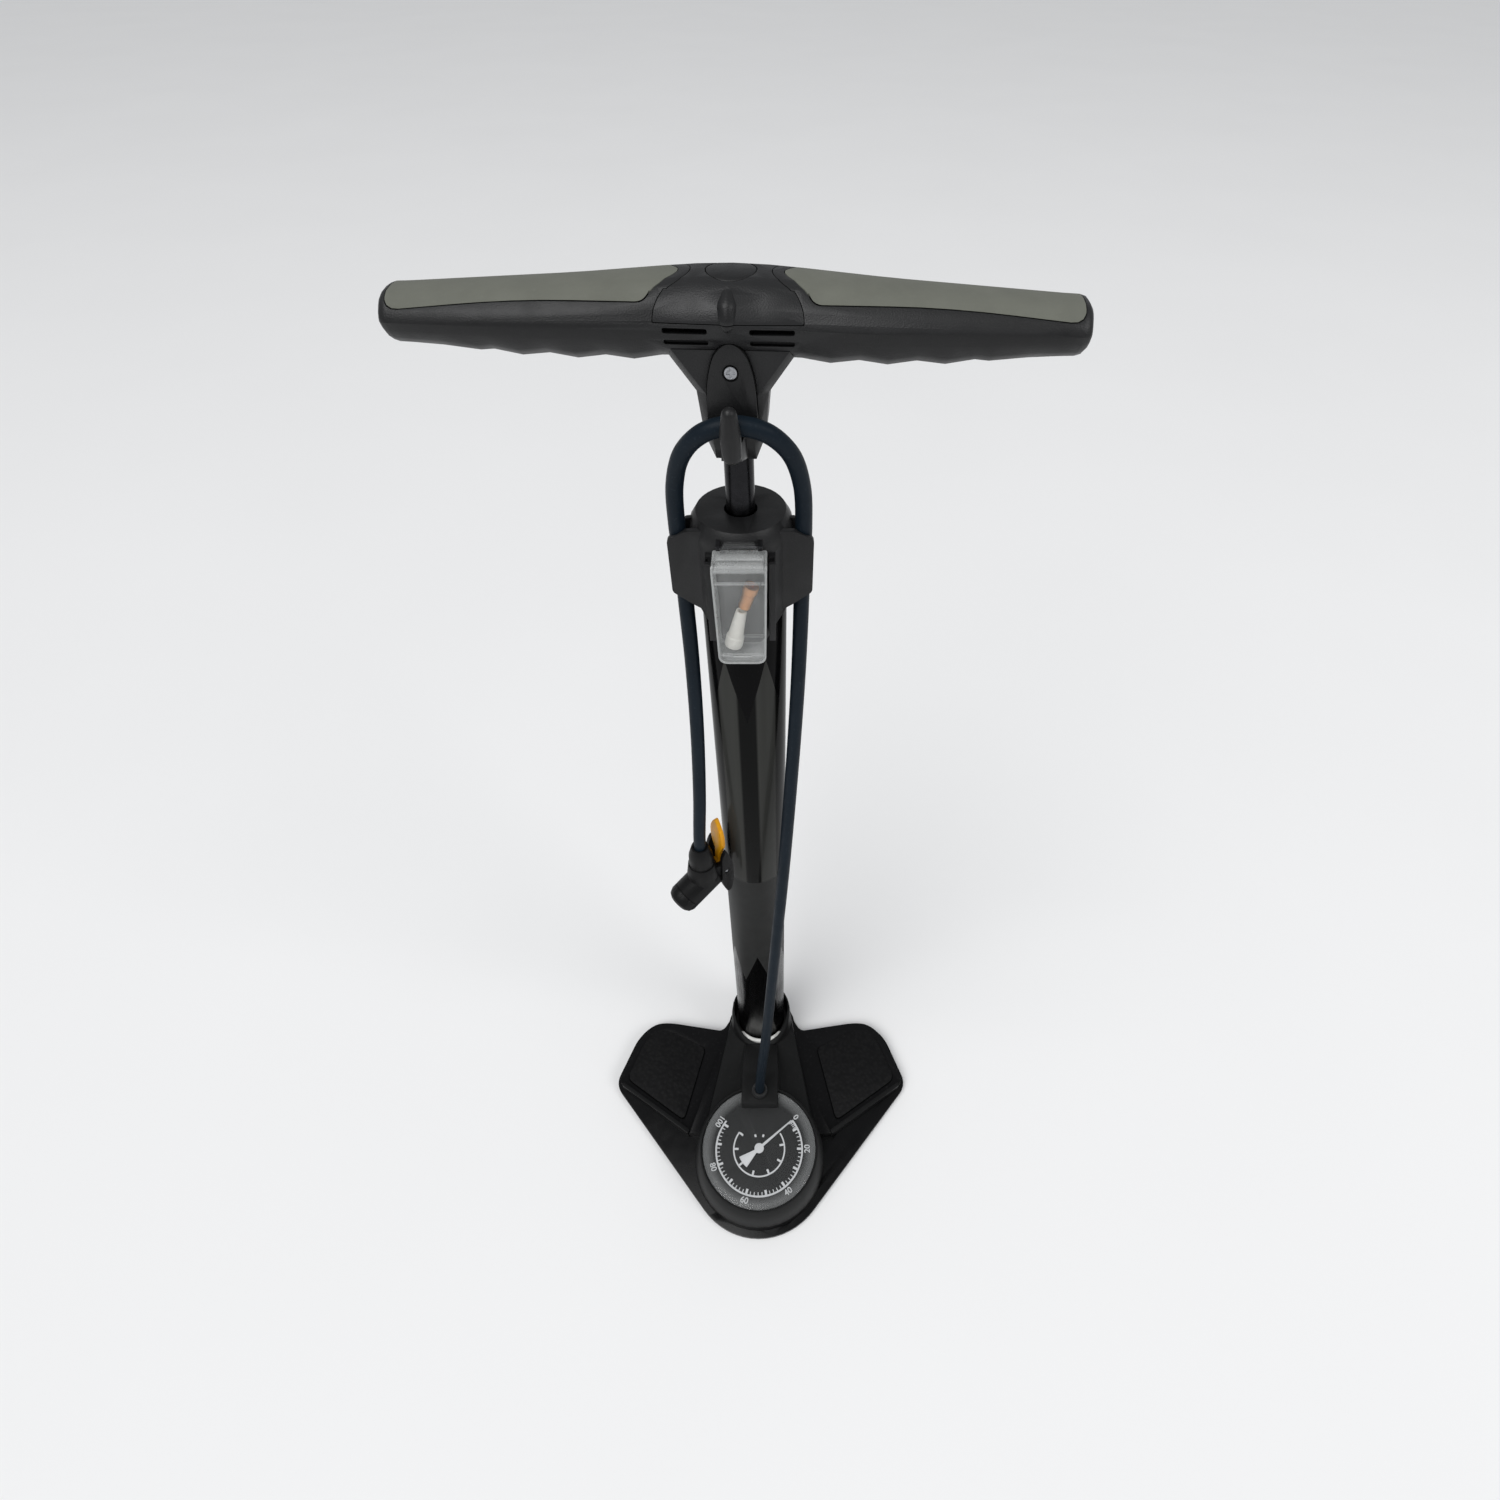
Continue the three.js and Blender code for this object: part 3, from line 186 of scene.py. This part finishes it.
# ---------------------------------------------------------------- materials
class Surface:
    """A Principled material, with short names for the few nodes that the finishes are made of."""

    def __init__(self, name, roughness, metallic=0, **sockets):
        self.material = bpy.data.materials.new(name)
        self.material.use_nodes = True
        self.nodes = self.material.node_tree.nodes
        self.links = self.material.node_tree.links
        self.shader = self.nodes["Principled BSDF"]
        self.put("Roughness", roughness)
        self.put("Metallic", metallic)
        for socket, value in sockets.items():
            self.put(socket.replace("_", " "), value)
        self.place = self.nodes.new("ShaderNodeTexCoord").outputs["Object"]

    def put(self, socket, value):
        self.shader.inputs[socket].default_value = value

    def wire(self, source, target):
        """Links a socket to the target, or sets the target to a plain value."""
        if isinstance(source, bpy.types.NodeSocket):
            self.links.new(source, target)
        else:
            target.default_value = source

    def noise(self, size, detail, stretch=(1, 1, 1)):
        """Clouds about size metres across, from 0 to 1. A small stretch draws them out on its axis."""
        mapping = self.nodes.new("ShaderNodeMapping")
        mapping.inputs["Scale"].default_value = stretch
        self.links.new(self.place, mapping.inputs["Vector"])
        node = self.nodes.new("ShaderNodeTexNoise")
        node.inputs["Scale"].default_value = 1 / size
        node.inputs["Detail"].default_value = detail
        self.links.new(mapping.outputs["Vector"], node.inputs["Vector"])
        return node.outputs["Fac"]

    def cells(self, size, feature="F1"):
        node = self.nodes.new("ShaderNodeTexVoronoi")
        node.feature = feature
        node.inputs["Scale"].default_value = 1 / size
        self.links.new(self.place, node.inputs["Vector"])
        return node.outputs["Distance"]

    def span(self, value, low, high, to_low=0.0, to_high=1.0):
        """value from low..high carried over to to_low..to_high, and held there outside."""
        node = self.nodes.new("ShaderNodeMapRange")
        self.wire(value, node.inputs["Value"])
        for socket, number in zip(node.inputs[1:5], (low, high, to_low, to_high)):
            socket.default_value = number
        return node.outputs["Result"]

    def math(self, operation, *values):
        node = self.nodes.new("ShaderNodeMath")
        node.operation = operation
        for value, socket in zip(values, node.inputs):
            self.wire(value, socket)
        return node.outputs["Value"]

    def blend(self, factor, low, high, mode="MIX"):
        node = self.nodes.new("ShaderNodeMix")
        node.data_type = "RGBA"
        node.blend_type = mode
        self.wire(factor, node.inputs["Factor"])
        for colour, socket in ((low, node.inputs["A"]), (high, node.inputs["B"])):
            self.wire(colour if isinstance(colour, bpy.types.NodeSocket) else (*colour, 1), socket)
        return node.outputs["Result"]

    def edges(self):
        """1 on ridges and corners, where handling wears the surface."""
        return self.span(self.nodes.new("ShaderNodeNewGeometry").outputs["Pointiness"], 0.52, 0.6)

    def axis(self, name):
        split = self.nodes.new("ShaderNodeSeparateXYZ")
        self.links.new(self.place, split.inputs["Vector"])
        return split.outputs[name]

    def colour(self, socket):
        self.links.new(socket, self.shader.inputs["Base Color"])

    def roughness(self, socket):
        self.links.new(socket, self.shader.inputs["Roughness"])

    def bump(self, height, depth, strength=1.0):
        """Raises the surface by the height, on top of the bumps already there."""
        node = self.nodes.new("ShaderNodeBump")
        node.inputs["Distance"].default_value = depth
        node.inputs["Strength"].default_value = strength
        self.links.new(height, node.inputs["Height"])
        last = self.shader.inputs["Normal"].links
        if last:
            self.links.new(last[0].from_socket, node.inputs["Normal"])
        self.links.new(node.outputs["Normal"], self.shader.inputs["Normal"])


def shade(tone, factor):
    return tuple(min(1, channel * factor) for channel in tone)


def moulded(name, tone, roughness, grain=0.5 * MM, depth=0.045 * MM, wear=0.35, **sockets):
    """Moulded plastic: a fine grain, faint clouds from the mould and rubbed, paler edges."""
    s = Surface(name, roughness, **sockets)
    clouds = s.blend(s.noise(24 * MM, 3), shade(tone, 0.8), shade(tone, 1.2))
    dust = s.blend(s.span(s.noise(3 * MM, 4), 0.55, 0.85), clouds, shade(tone, 1.3))
    worn = s.math("MULTIPLY", s.edges(), wear)
    s.colour(s.blend(worn, dust, shade(tone, 2.6)))
    s.roughness(s.span(s.noise(9 * MM, 3), 0.25, 0.75, roughness - 0.07, roughness + 0.08))
    s.bump(s.cells(grain), depth)
    s.bump(s.noise(30 * MM, 2), 0.25 * MM, 0.4)
    return s.material


def foot_plastic():
    """The foot's housing: near-black and smoother up to its deck, and paler and duller above."""
    s = Surface("foot_housing", 0.4, Specular_IOR_Level=0.14)
    height = s.span(s.axis("Z"), *DECK_TOP)
    clouds = s.noise(20 * MM, 3)
    deck = s.blend(clouds, (0.002, 0.002, 0.0022), (0.0045, 0.0045, 0.005))
    upper = s.blend(clouds, (0.006, 0.0062, 0.0062), (0.011, 0.0114, 0.0114))
    tone = s.blend(height, deck, upper)
    dusty = s.blend(s.span(s.noise(2.4 * MM, 4), 0.58, 0.85), tone, (0.016, 0.016, 0.0165))
    s.colour(s.blend(s.math("MULTIPLY", s.edges(), 0.3), dusty, (0.03, 0.03, 0.031)))
    s.roughness(s.span(height, 0, 1, 0.3, 0.48))
    s.bump(s.cells(0.7 * MM), 0.03 * MM)
    s.bump(s.noise(30 * MM, 2), 0.25 * MM, 0.4)
    return s.material


def rubbery(name, tone, roughness=0.78, dust=1.7):
    """Matt rubber with dust in its grain. Where dust is over 1, the dust is paler than the tone."""
    s = Surface(name, roughness, Sheen_Weight=0.04, Sheen_Roughness=0.5, Specular_IOR_Level=0.3)
    clouds = s.blend(s.noise(12 * MM, 3), shade(tone, 0.85), shade(tone, 1.15))
    s.colour(s.blend(s.span(s.noise(1.6 * MM, 4), 0.58, 0.9), clouds, shade(tone, dust)))
    s.roughness(s.span(s.noise(5 * MM, 2), 0.2, 0.8, roughness - 0.06, roughness + 0.08))
    s.bump(s.noise(0.35 * MM, 3), 0.03 * MM)
    return s.material


def metal(name, tone, roughness, stretch=(1, 1, 1)):
    """Turned or drawn metal, with small tarnished clouds and fine marks drawn out by the stretch."""
    s = Surface(name, roughness, 1)
    s.colour(s.blend(s.noise(6 * MM, 4), shade(tone, 0.8), shade(tone, 1.12)))
    s.roughness(s.span(s.noise(2.5 * MM, 4), 0.2, 0.8, roughness - 0.06, roughness + 0.1))
    s.bump(s.noise(0.6 * MM, 2, stretch), 0.01 * MM)
    return s.material


def painted_barrel():
    """Gloss black enamel. Its printed sleeve has pointed ends, and is matt up to a seam; above the seam
    it carries painted reflection: pale stripes and upright streaks.
    """
    s = Surface("barrel_enamel", 0.2, Specular_IOR_Level=0.06)
    turn = s.math("ARCTAN2", s.axis("X"), s.axis("Y"))
    around = s.math("MULTIPLY", turn, SLEEVE_POINTS / math.tau)
    height = s.axis("Z")

    def wave(start):
        """From 0.5 down to 0 and back, once for each point of the sleeve."""
        part = s.math("FRACT", s.math("ADD", around, start))
        return s.math("ABSOLUTE", s.math("SUBTRACT", part, 0.5))

    above = s.math("GREATER_THAN", height, s.span(wave(0), 0, 0.5, *SLEEVE_FOOT))
    below = s.math("LESS_THAN", height, s.span(wave(0.5), 0, 0.5, *SLEEVE_HEAD))
    sleeve = s.math("MULTIPLY", above, below)
    matt = s.math("MULTIPLY", above, s.math("LESS_THAN", height, SLEEVE_SEAM))
    specks = s.span(s.noise(0.9 * MM, 4), 0.62, 0.8)
    black = s.blend(specks, (0.002, 0.002, 0.0022), (0.008, 0.008, 0.009))
    # painted reflection: pale stripes round the sleeve above its seam, and upright streaks drawn out over
    # them
    reflection_stripe = s.blend(s.span(wave(0.5), 0.2, 0.26), (0.004, 0.0042, 0.004), (0.036, 0.0365, 0.034))
    drawn = s.blend(s.noise(6 * MM, 4, (1, 1, 0.04)), (0.75, 0.75, 0.75), (1.25, 1.25, 1.25))
    painted_reflection = s.blend(1.0, reflection_stripe, drawn, "MULTIPLY")
    dull = s.blend(s.noise(7 * MM, 4), (0.024, 0.0245, 0.024), (0.034, 0.0345, 0.034))
    s.colour(s.blend(matt, s.blend(sleeve, black, painted_reflection), dull))
    smudges = s.span(s.noise(18 * MM, 5), 0.35, 0.75, 0.13, 0.24)
    s.roughness(s.math("MAXIMUM", smudges, s.math("MULTIPLY", matt, 0.45)))
    s.bump(s.noise(1.4 * MM, 2), 0.004 * MM)
    s.bump(s.noise(50 * MM, 2, (1, 1, 0.25)), 0.2 * MM, 0.3)
    return s.material


def hose_rubber():
    """Extruded hose: the braid inside shows as a faint relief, and the skin is scuffed a little."""
    s = Surface("hose_skin", 0.5, Specular_IOR_Level=0.1)
    clouds = s.blend(s.noise(20 * MM, 3), (0.0045, 0.0085, 0.0135), (0.0085, 0.0145, 0.0215))
    s.colour(s.blend(s.span(s.noise(1.2 * MM, 4), 0.6, 0.85), clouds, (0.02, 0.028, 0.036)))
    s.roughness(s.span(s.noise(7 * MM, 3), 0.25, 0.75, 0.38, 0.54))
    s.bump(s.cells(1.5 * MM, "SMOOTH_F1"), 0.04 * MM, 0.6)
    return s.material


def clear_plastic():
    """Clear moulded cover: faintly hazy, and paler from its rim to the edge of the scale with painted
    reflection of the curved rim, with hair scratches.
    """
    s = Surface("lens_clear", 0.08, Specular_IOR_Level=0.8)
    across = s.math("MULTIPLY", s.axis("X"), s.axis("X"))
    along = s.math("SUBTRACT", s.axis("Y"), GAUGE_CENTRE.y)
    radius = s.math("SQRT", s.math("ADD", across, s.math("MULTIPLY", along, along)))
    # faint haze over the scale, rising towards the rim into a painted reflection of the curved rim seen
    # edge-on
    haze_and_rim_reflection = s.span(radius, *LENS_RIM_REFLECTION, 0.02, 0.13)
    scratches = s.span(s.noise(4 * MM, 3, (1, 0.1, 1)), 0.6, 0.9, 0, 0.02)
    s.wire(s.math("ADD", haze_and_rim_reflection, scratches), s.shader.inputs["Alpha"])
    s.colour(s.blend(s.noise(15 * MM, 3), (0.5, 0.52, 0.52), (0.6, 0.61, 0.61)))
    s.roughness(s.span(s.noise(4 * MM, 4, (1, 0.25, 1)), 0.45, 0.8, 0.1, 0.2))
    return s.material


def frosted_plastic():
    """Milky polypropylene, half clear: whiter along its moulded rim, its step and its shelf, partly as
    painted light piped along them, and clearer and darker under the cap's brow as painted shade.
    """
    s = Surface("case_frosted", 0.3, Specular_IOR_Level=0.6)
    s.colour(s.blend(s.noise(8 * MM, 3), (0.5, 0.515, 0.51), (0.66, 0.675, 0.67)))
    across, height = s.math("ABSOLUTE", s.axis("X")), s.axis("Z")
    flat_half = s.span(height, *CASE_FLAT, *CASE_FLAT_HALF)
    side = s.math("MAXIMUM", s.math("SUBTRACT", across, flat_half), 0)
    foot = s.math("MAXIMUM", s.math("SUBTRACT", CASE_FLOOR + CASE_CORNER, height), 0)
    squares = s.math("ADD", s.math("MULTIPLY", side, side), s.math("MULTIPLY", foot, foot))
    reach = s.math("SQRT", squares)
    # marks: the rim and the step lines drawn more opaque and whiter, partly thicker plastic seen edge-on
    # and partly painted light piped along them
    marks = s.span(reach, CASE_CORNER - 1.4 * MM, CASE_CORNER - 0.5 * MM, 0, 0.42)
    for level, half in CASE_LINES:
        away = s.math("ABSOLUTE", s.math("SUBTRACT", height, level * MM))
        marks = s.math("MAXIMUM", marks, s.span(away, half * MM, half * MM / 2, 0, 0.3))
    # painted shade: the lid is drawn clearer, so darker, under the cap's brow
    brow_shade = s.span(height, *CASE_BROW_SHADE, 1, 0.3)
    flow = s.span(s.noise(5 * MM, 4, (1, 1, 0.3)), 0.3, 0.8, 0.07, 0.13)
    alpha = s.math("MULTIPLY", s.math("ADD", marks, flow), brow_shade)
    s.wire(alpha, s.shader.inputs["Alpha"])
    s.roughness(s.span(s.noise(3 * MM, 3), 0.3, 0.8, 0.2, 0.38))
    s.bump(s.noise(6 * MM, 3), 0.02 * MM, 0.5)
    return s.material


def tread_rubber():
    """Foot tread: a coarse leather-like grain with paler dimples."""
    s = Surface("tread_grain", 0.72, Specular_IOR_Level=0.16)
    hills = s.cells(2.6 * MM, "SMOOTH_F1")
    fine = s.noise(0.8 * MM, 4)
    tone = s.blend(s.span(hills, 0.1, 0.6), (0.006, 0.006, 0.0062), (0.0025, 0.0025, 0.0028))
    s.colour(s.blend(s.span(fine, 0.6, 0.8), tone, (0.01, 0.01, 0.01)))
    s.roughness(s.span(fine, 0.3, 0.7, 0.55, 0.8))
    s.bump(hills, 0.5 * MM, 0.8)
    s.bump(fine, 0.05 * MM)
    return s.material


def printed_dial():
    """The dial's card: matt black ink, a little uneven."""
    s = Surface("dial_face", 0.5, Specular_IOR_Level=0.2)
    s.colour(s.blend(s.noise(1.2 * MM, 4), (0.006, 0.0062, 0.0065), (0.011, 0.0112, 0.0116)))
    s.roughness(s.span(s.noise(6 * MM, 2), 0.3, 0.7, 0.45, 0.6))
    s.bump(s.noise(0.5 * MM, 3), 0.015 * MM)
    return s.material


def ring_plastic():
    """The seal's sleeve: white where it faces the gauge, black all round the back."""
    s = Surface("ring_two_tone", 0.4)
    front = s.math("LESS_THAN", s.axis("Y"), RING_FRONT)
    white = s.blend(s.noise(4 * MM, 3), (0.55, 0.55, 0.53), (0.72, 0.72, 0.7))
    s.colour(s.blend(front, (0.01, 0.01, 0.01), white))
    s.roughness(s.span(s.noise(5 * MM, 2), 0.3, 0.7, 0.34, 0.5))
    s.bump(s.noise(0.8 * MM, 2), 0.01 * MM)
    return s.material


def ink(name, tone):
    """Printed or painted marks, thin in places."""
    s = Surface(name, 0.5)
    s.colour(s.blend(s.noise(0.7 * MM, 3), shade(tone, 0.86), tone))
    s.bump(s.noise(0.3 * MM, 2), 0.01 * MM)
    return s.material


def make_finishes():
    """The finishes by slot of the record, and those that OWN_FINISH names."""
    return {
        "nylon": moulded(
            "nylon_black", (0.0085, 0.0086, 0.009), 0.42, Specular_IOR_Level=0.28,
        ),
        "plate_black": moulded(
            "plate_gloss", (0.002, 0.002, 0.0022), 0.24, 1.2 * MM, 0.008 * MM,
            Specular_IOR_Level=0.2,
        ),
        "tread": tread_rubber(),
        "rubber": rubbery("rubber_black", (0.009, 0.009, 0.009)),
        "head": moulded(
            "head_black", (0.0032, 0.0032, 0.0034), 0.45, Specular_IOR_Level=0.16,
        ),
        "pin": metal("pin_blackened", (0.03, 0.03, 0.032), 0.4),
        "steel": metal("zinc_steel", (0.4, 0.41, 0.43), 0.36),
        "brass": metal("brass_plain", (0.6, 0.3, 0.14), 0.34),
        "dial": printed_dial(),
        "needle_white": ink("needle_paint", (0.6, 0.61, 0.62)),
        "clear": clear_plastic(),
        "barrel_black": painted_barrel(),
        "white_ring": ring_plastic(),
        "hose_rubber": hose_rubber(),
        "cream": moulded("cream_plastic", (0.62, 0.61, 0.56), 0.45, wear=0.1),
        "frosted": frosted_plastic(),
        "rod_black": metal("rod_lacquer", (0.025, 0.025, 0.027), 0.26, (1, 1, 0.1)),
        "grip_rubber": rubbery("grip_olive", (0.125, 0.129, 0.108), 0.75, dust=1.1),
        "lever_yellow": moulded(
            "lever_amber", (0.66, 0.28, 0.004), 0.4, depth=0.02 * MM, wear=0.1,
            Specular_IOR_Level=0.2,
        ),
        "foot": foot_plastic(),
    }


# ---------------------------------------------------------------- CAD nodes
USUAL_EDGE = 0.35  # bevel width in millimetres
SOFT_EDGES = {  # where it isn't the usual one
    "gauge_lens": 0.5, "case_tray": 0.12, "case_lid": 0.12, "valve_adapter": 0.15,
    "cone_adapter": 0.2, "plate_screw": 0.1, "gauge_needle": 0.08, "hook_plate": 0.12,
    "cover_plug": 0.25, "base_plate": 0.7, "handle_body": 0.5, "barrel": 0.2,
    "piston_rod": 0.15,
}
OWN_FINISH = {  # nodes whose finish isn't their slot's
    "base_housing": "foot", "lid_pin": "pin", "head_body": "head", "nozzle_cap": "head",
    "hose_ferrule": "head",
}
WELD_DISTANCE = 0.002 * MM
FLAT_ANGLE = 0.6  # degrees: triangles that meet at less are one flat face
BEVEL_ANGLE = 38
SMOOTH_ANGLE = 32


def geometry_group(name):
    group = bpy.data.node_groups.new(name, "GeometryNodeTree")
    group.interface.new_socket("Geometry", in_out="INPUT", socket_type="NodeSocketGeometry")
    group.interface.new_socket("Geometry", in_out="OUTPUT", socket_type="NodeSocketGeometry")
    return group, group.nodes.new("NodeGroupInput"), group.nodes.new("NodeGroupOutput")


def welded_group():
    """Drops the frame's own normals and joins the triangles into one skin."""
    group, entry, out = geometry_group("welded")
    bare = group.nodes.new("GeometryNodeRemoveAttribute")
    bare.inputs["Name"].default_value = "custom_normal"
    weld = group.nodes.new("GeometryNodeMergeByDistance")
    weld.inputs["Distance"].default_value = WELD_DISTANCE
    group.links.new(entry.outputs[0], bare.inputs[0])
    group.links.new(bare.outputs[0], weld.inputs["Geometry"])
    group.links.new(weld.outputs[0], out.inputs[0])
    return group


def smoothed_group():
    """Smooth shading, with edges sharper than SMOOTH_ANGLE kept crisp."""
    group, entry, out = geometry_group("smoothed")
    angle = group.nodes.new("GeometryNodeInputMeshEdgeAngle")
    gentle = group.nodes.new("FunctionNodeCompare")
    gentle.operation = "LESS_EQUAL"
    gentle.inputs["B"].default_value = math.radians(SMOOTH_ANGLE)
    group.links.new(angle.outputs["Unsigned Angle"], gentle.inputs["A"])
    faces = group.nodes.new("GeometryNodeSetShadeSmooth")
    faces.domain = "FACE"
    edges = group.nodes.new("GeometryNodeSetShadeSmooth")
    edges.domain = "EDGE"
    group.links.new(gentle.outputs["Result"], edges.inputs["Shade Smooth"])
    group.links.new(entry.outputs[0], faces.inputs["Geometry"])
    group.links.new(faces.outputs[0], edges.inputs["Geometry"])
    group.links.new(edges.outputs[0], out.inputs[0])
    return group


def dress_nodes(finishes):
    """Gives every CAD node its finish, softened edges and smooth shading."""
    welded, smoothed = welded_group(), smoothed_group()
    for name, node in NODES.items():
        slot = node.data.materials[0].name
        node.data.materials[0] = finishes[OWN_FINISH.get(name, slot)]
        node.modifiers.new("weld", "NODES").node_group = welded
        flat = node.modifiers.new("flats", "DECIMATE")
        flat.decimate_type = "DISSOLVE"
        flat.angle_limit = math.radians(FLAT_ANGLE)
        edge = node.modifiers.new("edges", "BEVEL")
        edge.width = SOFT_EDGES.get(name, USUAL_EDGE) * MM
        edge.segments = 2
        edge.limit_method = "ANGLE"
        edge.angle_limit = math.radians(BEVEL_ANGLE)
        edge.use_clamp_overlap = True
        node.modifiers.new("smooth", "NODES").node_group = smoothed


# ---------------------------------------------------------------- hose
def through(points, steps):
    """A centripetal Catmull-Rom curve through the points."""
    ends = [2 * points[0] - points[1], *points, 2 * points[-1] - points[-2]]
    line = []
    for before, start, end, after in zip(ends, ends[1:], ends[2:], ends[3:]):
        d0, d1, d2 = ((b - a).length ** 0.5 for a, b in ((before, start), (start, end), (end, after)))
        leave = ((start - before) / d0 - (end - before) / (d0 + d1)) * d1 + (end - start)
        arrive = ((after - end) / d2 - (after - start) / (d1 + d2)) * d1 + (end - start)
        for step in range(steps):
            t = step / steps
            line.append(
                start * (2 * t**3 - 3 * t**2 + 1) + leave * (t**3 - 2 * t**2 + t)
                + end * (3 * t**2 - 2 * t**3) + arrive * (t**3 - t**2)
            )
    return [*line, points[-1]]


def make_hose(finish):
    line = through([Vector(point) * MM for point in HOSE_ROUTE_MM], HOSE_STEPS)
    data = bpy.data.curves.new("air_hose", "CURVE")
    data.dimensions = "3D"
    data.bevel_depth = HOSE_R
    data.bevel_resolution = 6
    data.use_fill_caps = True
    spline = data.splines.new("POLY")
    spline.points.add(len(line) - 1)
    for point, place in zip(spline.points, line):
        point.co = (*place, 1)
    hose = link(bpy.data.objects.new("air_hose", data))
    data.materials.append(finish)
    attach(hose, "pump_body")
    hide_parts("hose")


# ---------------------------------------------------------------- valve spring
def make_spring(finish):
    """The check valve's spring, made as a coil in place of its CAD solid."""
    low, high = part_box("valve_spring")
    wire = SPRING_WIRE / 2
    coil_radius = high.x - wire
    rise = high.z - low.z - 2 * wire
    mesh = bpy.data.meshes.new("spring_coil")
    shape = bmesh.new()
    rings = []
    steps = SPRING_TURNS * SPRING_STEPS
    sides = [math.tau * side / SPRING_SIDES for side in range(SPRING_SIDES)]
    for i in range(steps + 1):
        turn = math.tau * SPRING_TURNS * i / steps
        outward = Vector((math.cos(turn), math.sin(turn), 0))
        middle = outward * coil_radius + Vector((0, 0, low.z + wire + rise * i / steps))
        rings.append([
            shape.verts.new(middle + wire * (outward * math.cos(a) + Vector((0, 0, math.sin(a)))))
            for a in sides
        ])
    for ring, after in zip(rings, rings[1:]):
        for side in range(SPRING_SIDES):
            far = (side + 1) % SPRING_SIDES
            shape.faces.new((ring[side], after[side], after[far], ring[far]))
    shape.faces.new(rings[0])
    shape.faces.new(reversed(rings[-1]))
    bmesh.ops.recalc_face_normals(shape, faces=shape.faces)
    for face in shape.faces:
        face.smooth = len(face.verts) == 4
    shape.to_mesh(mesh)
    shape.free()
    spring = link(bpy.data.objects.new("spring_coil", mesh))
    mesh.materials.append(finish)
    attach(spring, "pump_body")
    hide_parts("valve_spring")
    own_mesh(spring)


# ---------------------------------------------------------------- dial print
def on_dial(radius, clockwise, z):
    """A point at radius and degrees clockwise from +X about the gauge's middle."""
    angle = math.radians(-clockwise)
    return Vector((radius * math.cos(angle), radius * math.sin(angle), z)) + GAUGE_CENTRE


def slab(shape, outline, z):
    """A closed plate PRINT_DEPTH thick over the outline's points."""
    low = [shape.verts.new((p.x, p.y, z)) for p in outline]
    high = [shape.verts.new((p.x, p.y, z + PRINT_DEPTH)) for p in outline]
    shape.faces.new(reversed(low))
    shape.faces.new(high)
    for i, point in enumerate(low):
        after = (i + 1) % len(low)
        shape.faces.new((point, low[after], high[after], high[i]))


def arc(shape, radius, width, start, z):
    """A line round the dial from start to the scales' end."""
    steps = 72
    turns = [start + (SCALE_END - start) * i / steps for i in range(steps + 1)]
    for a, b in zip(turns, turns[1:]):
        slab(shape, [
            on_dial(radius - width / 2, a, z), on_dial(radius + width / 2, a, z),
            on_dial(radius + width / 2, b, z), on_dial(radius - width / 2, b, z),
        ], z)


def tick(shape, outer, size, clockwise, z):
    """A mark inwards from the radius outer, as wide at both its ends."""
    length, width = size
    inner = outer - length
    half_out, half_in = (math.degrees(width / 2 / radius) for radius in (outer, inner))
    slab(shape, [
        on_dial(outer, clockwise - half_out, z), on_dial(outer, clockwise + half_out, z),
        on_dial(inner, clockwise + half_in, z), on_dial(inner, clockwise - half_in, z),
    ], z)


def scale_at(value, spread):
    """Degrees clockwise from +X at a pressure, on a scale whose first part has its own spread."""
    bend, first, rest = spread
    return SCALE_START + first * min(value, bend) + rest * max(value - bend, 0)


def make_dial_print(finish):
    """Both scales as one thin mesh, and the outer scale's numbers."""
    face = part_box("gauge_dial")[1].z + PRINT_LIFT
    mesh = bpy.data.meshes.new("dial_scales")
    shape = bmesh.new()
    arc(shape, PSI_RADIUS, PSI_LINE, SCALE_START, face)
    for value in range(0, 101, 2):
        size = PSI_TICK if value % 10 else PSI_MAIN_TICK
        outer = PSI_RADIUS - PSI_LINE / 2 + TICK_OVERLAP
        tick(shape, outer, size, scale_at(value, PSI_SPREAD), face)
    arc(shape, BAR_RADIUS, BAR_LINE, BAR_LINE_START, face)
    for value in range(1, 8):
        outer = BAR_RADIUS - BAR_LINE / 2 + TICK_OVERLAP
        tick(shape, outer, BAR_TICK, scale_at(value, BAR_SPREAD), face)
    for clockwise in DOT_ANGLES:
        tick(shape, DOT_RADIUS, DOT, clockwise, face)
    shape.to_mesh(mesh)
    shape.free()
    scales = link(bpy.data.objects.new("dial_scales", mesh))
    mesh.materials.append(finish)
    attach(scales, "pump_body")
    for value in range(0, 101, 20):
        number(str(value), scale_at(value, PSI_SPREAD), face, finish)


def number(word, clockwise, z, finish):
    """A number outside the scale, with its head towards the middle."""
    data = bpy.data.curves.new("number_" + word, "FONT")
    data.body = word
    data.size = NUMBER_SIZE
    data.offset = NUMBER_BOLD
    data.extrude = PRINT_DEPTH / 2
    data.align_x = "CENTER"
    data.align_y = "CENTER"
    text = link(bpy.data.objects.new("number_" + word, data))
    text.location = on_dial(PSI_RADIUS + NUMBER_OUT, clockwise, z + PRINT_DEPTH / 2)
    text.rotation_euler = (0, 0, math.radians(90 - clockwise))
    data.materials.append(finish)
    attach(text, "pump_body")


# ---------------------------------------------------------------- all together
make_camera()
FINISHES = make_finishes()
make_hose(FINISHES["hose_rubber"])
make_floor()
make_lights()
dress_nodes(FINISHES)
make_spring(FINISHES["steel"])
make_dial_print(FINISHES["needle_white"])
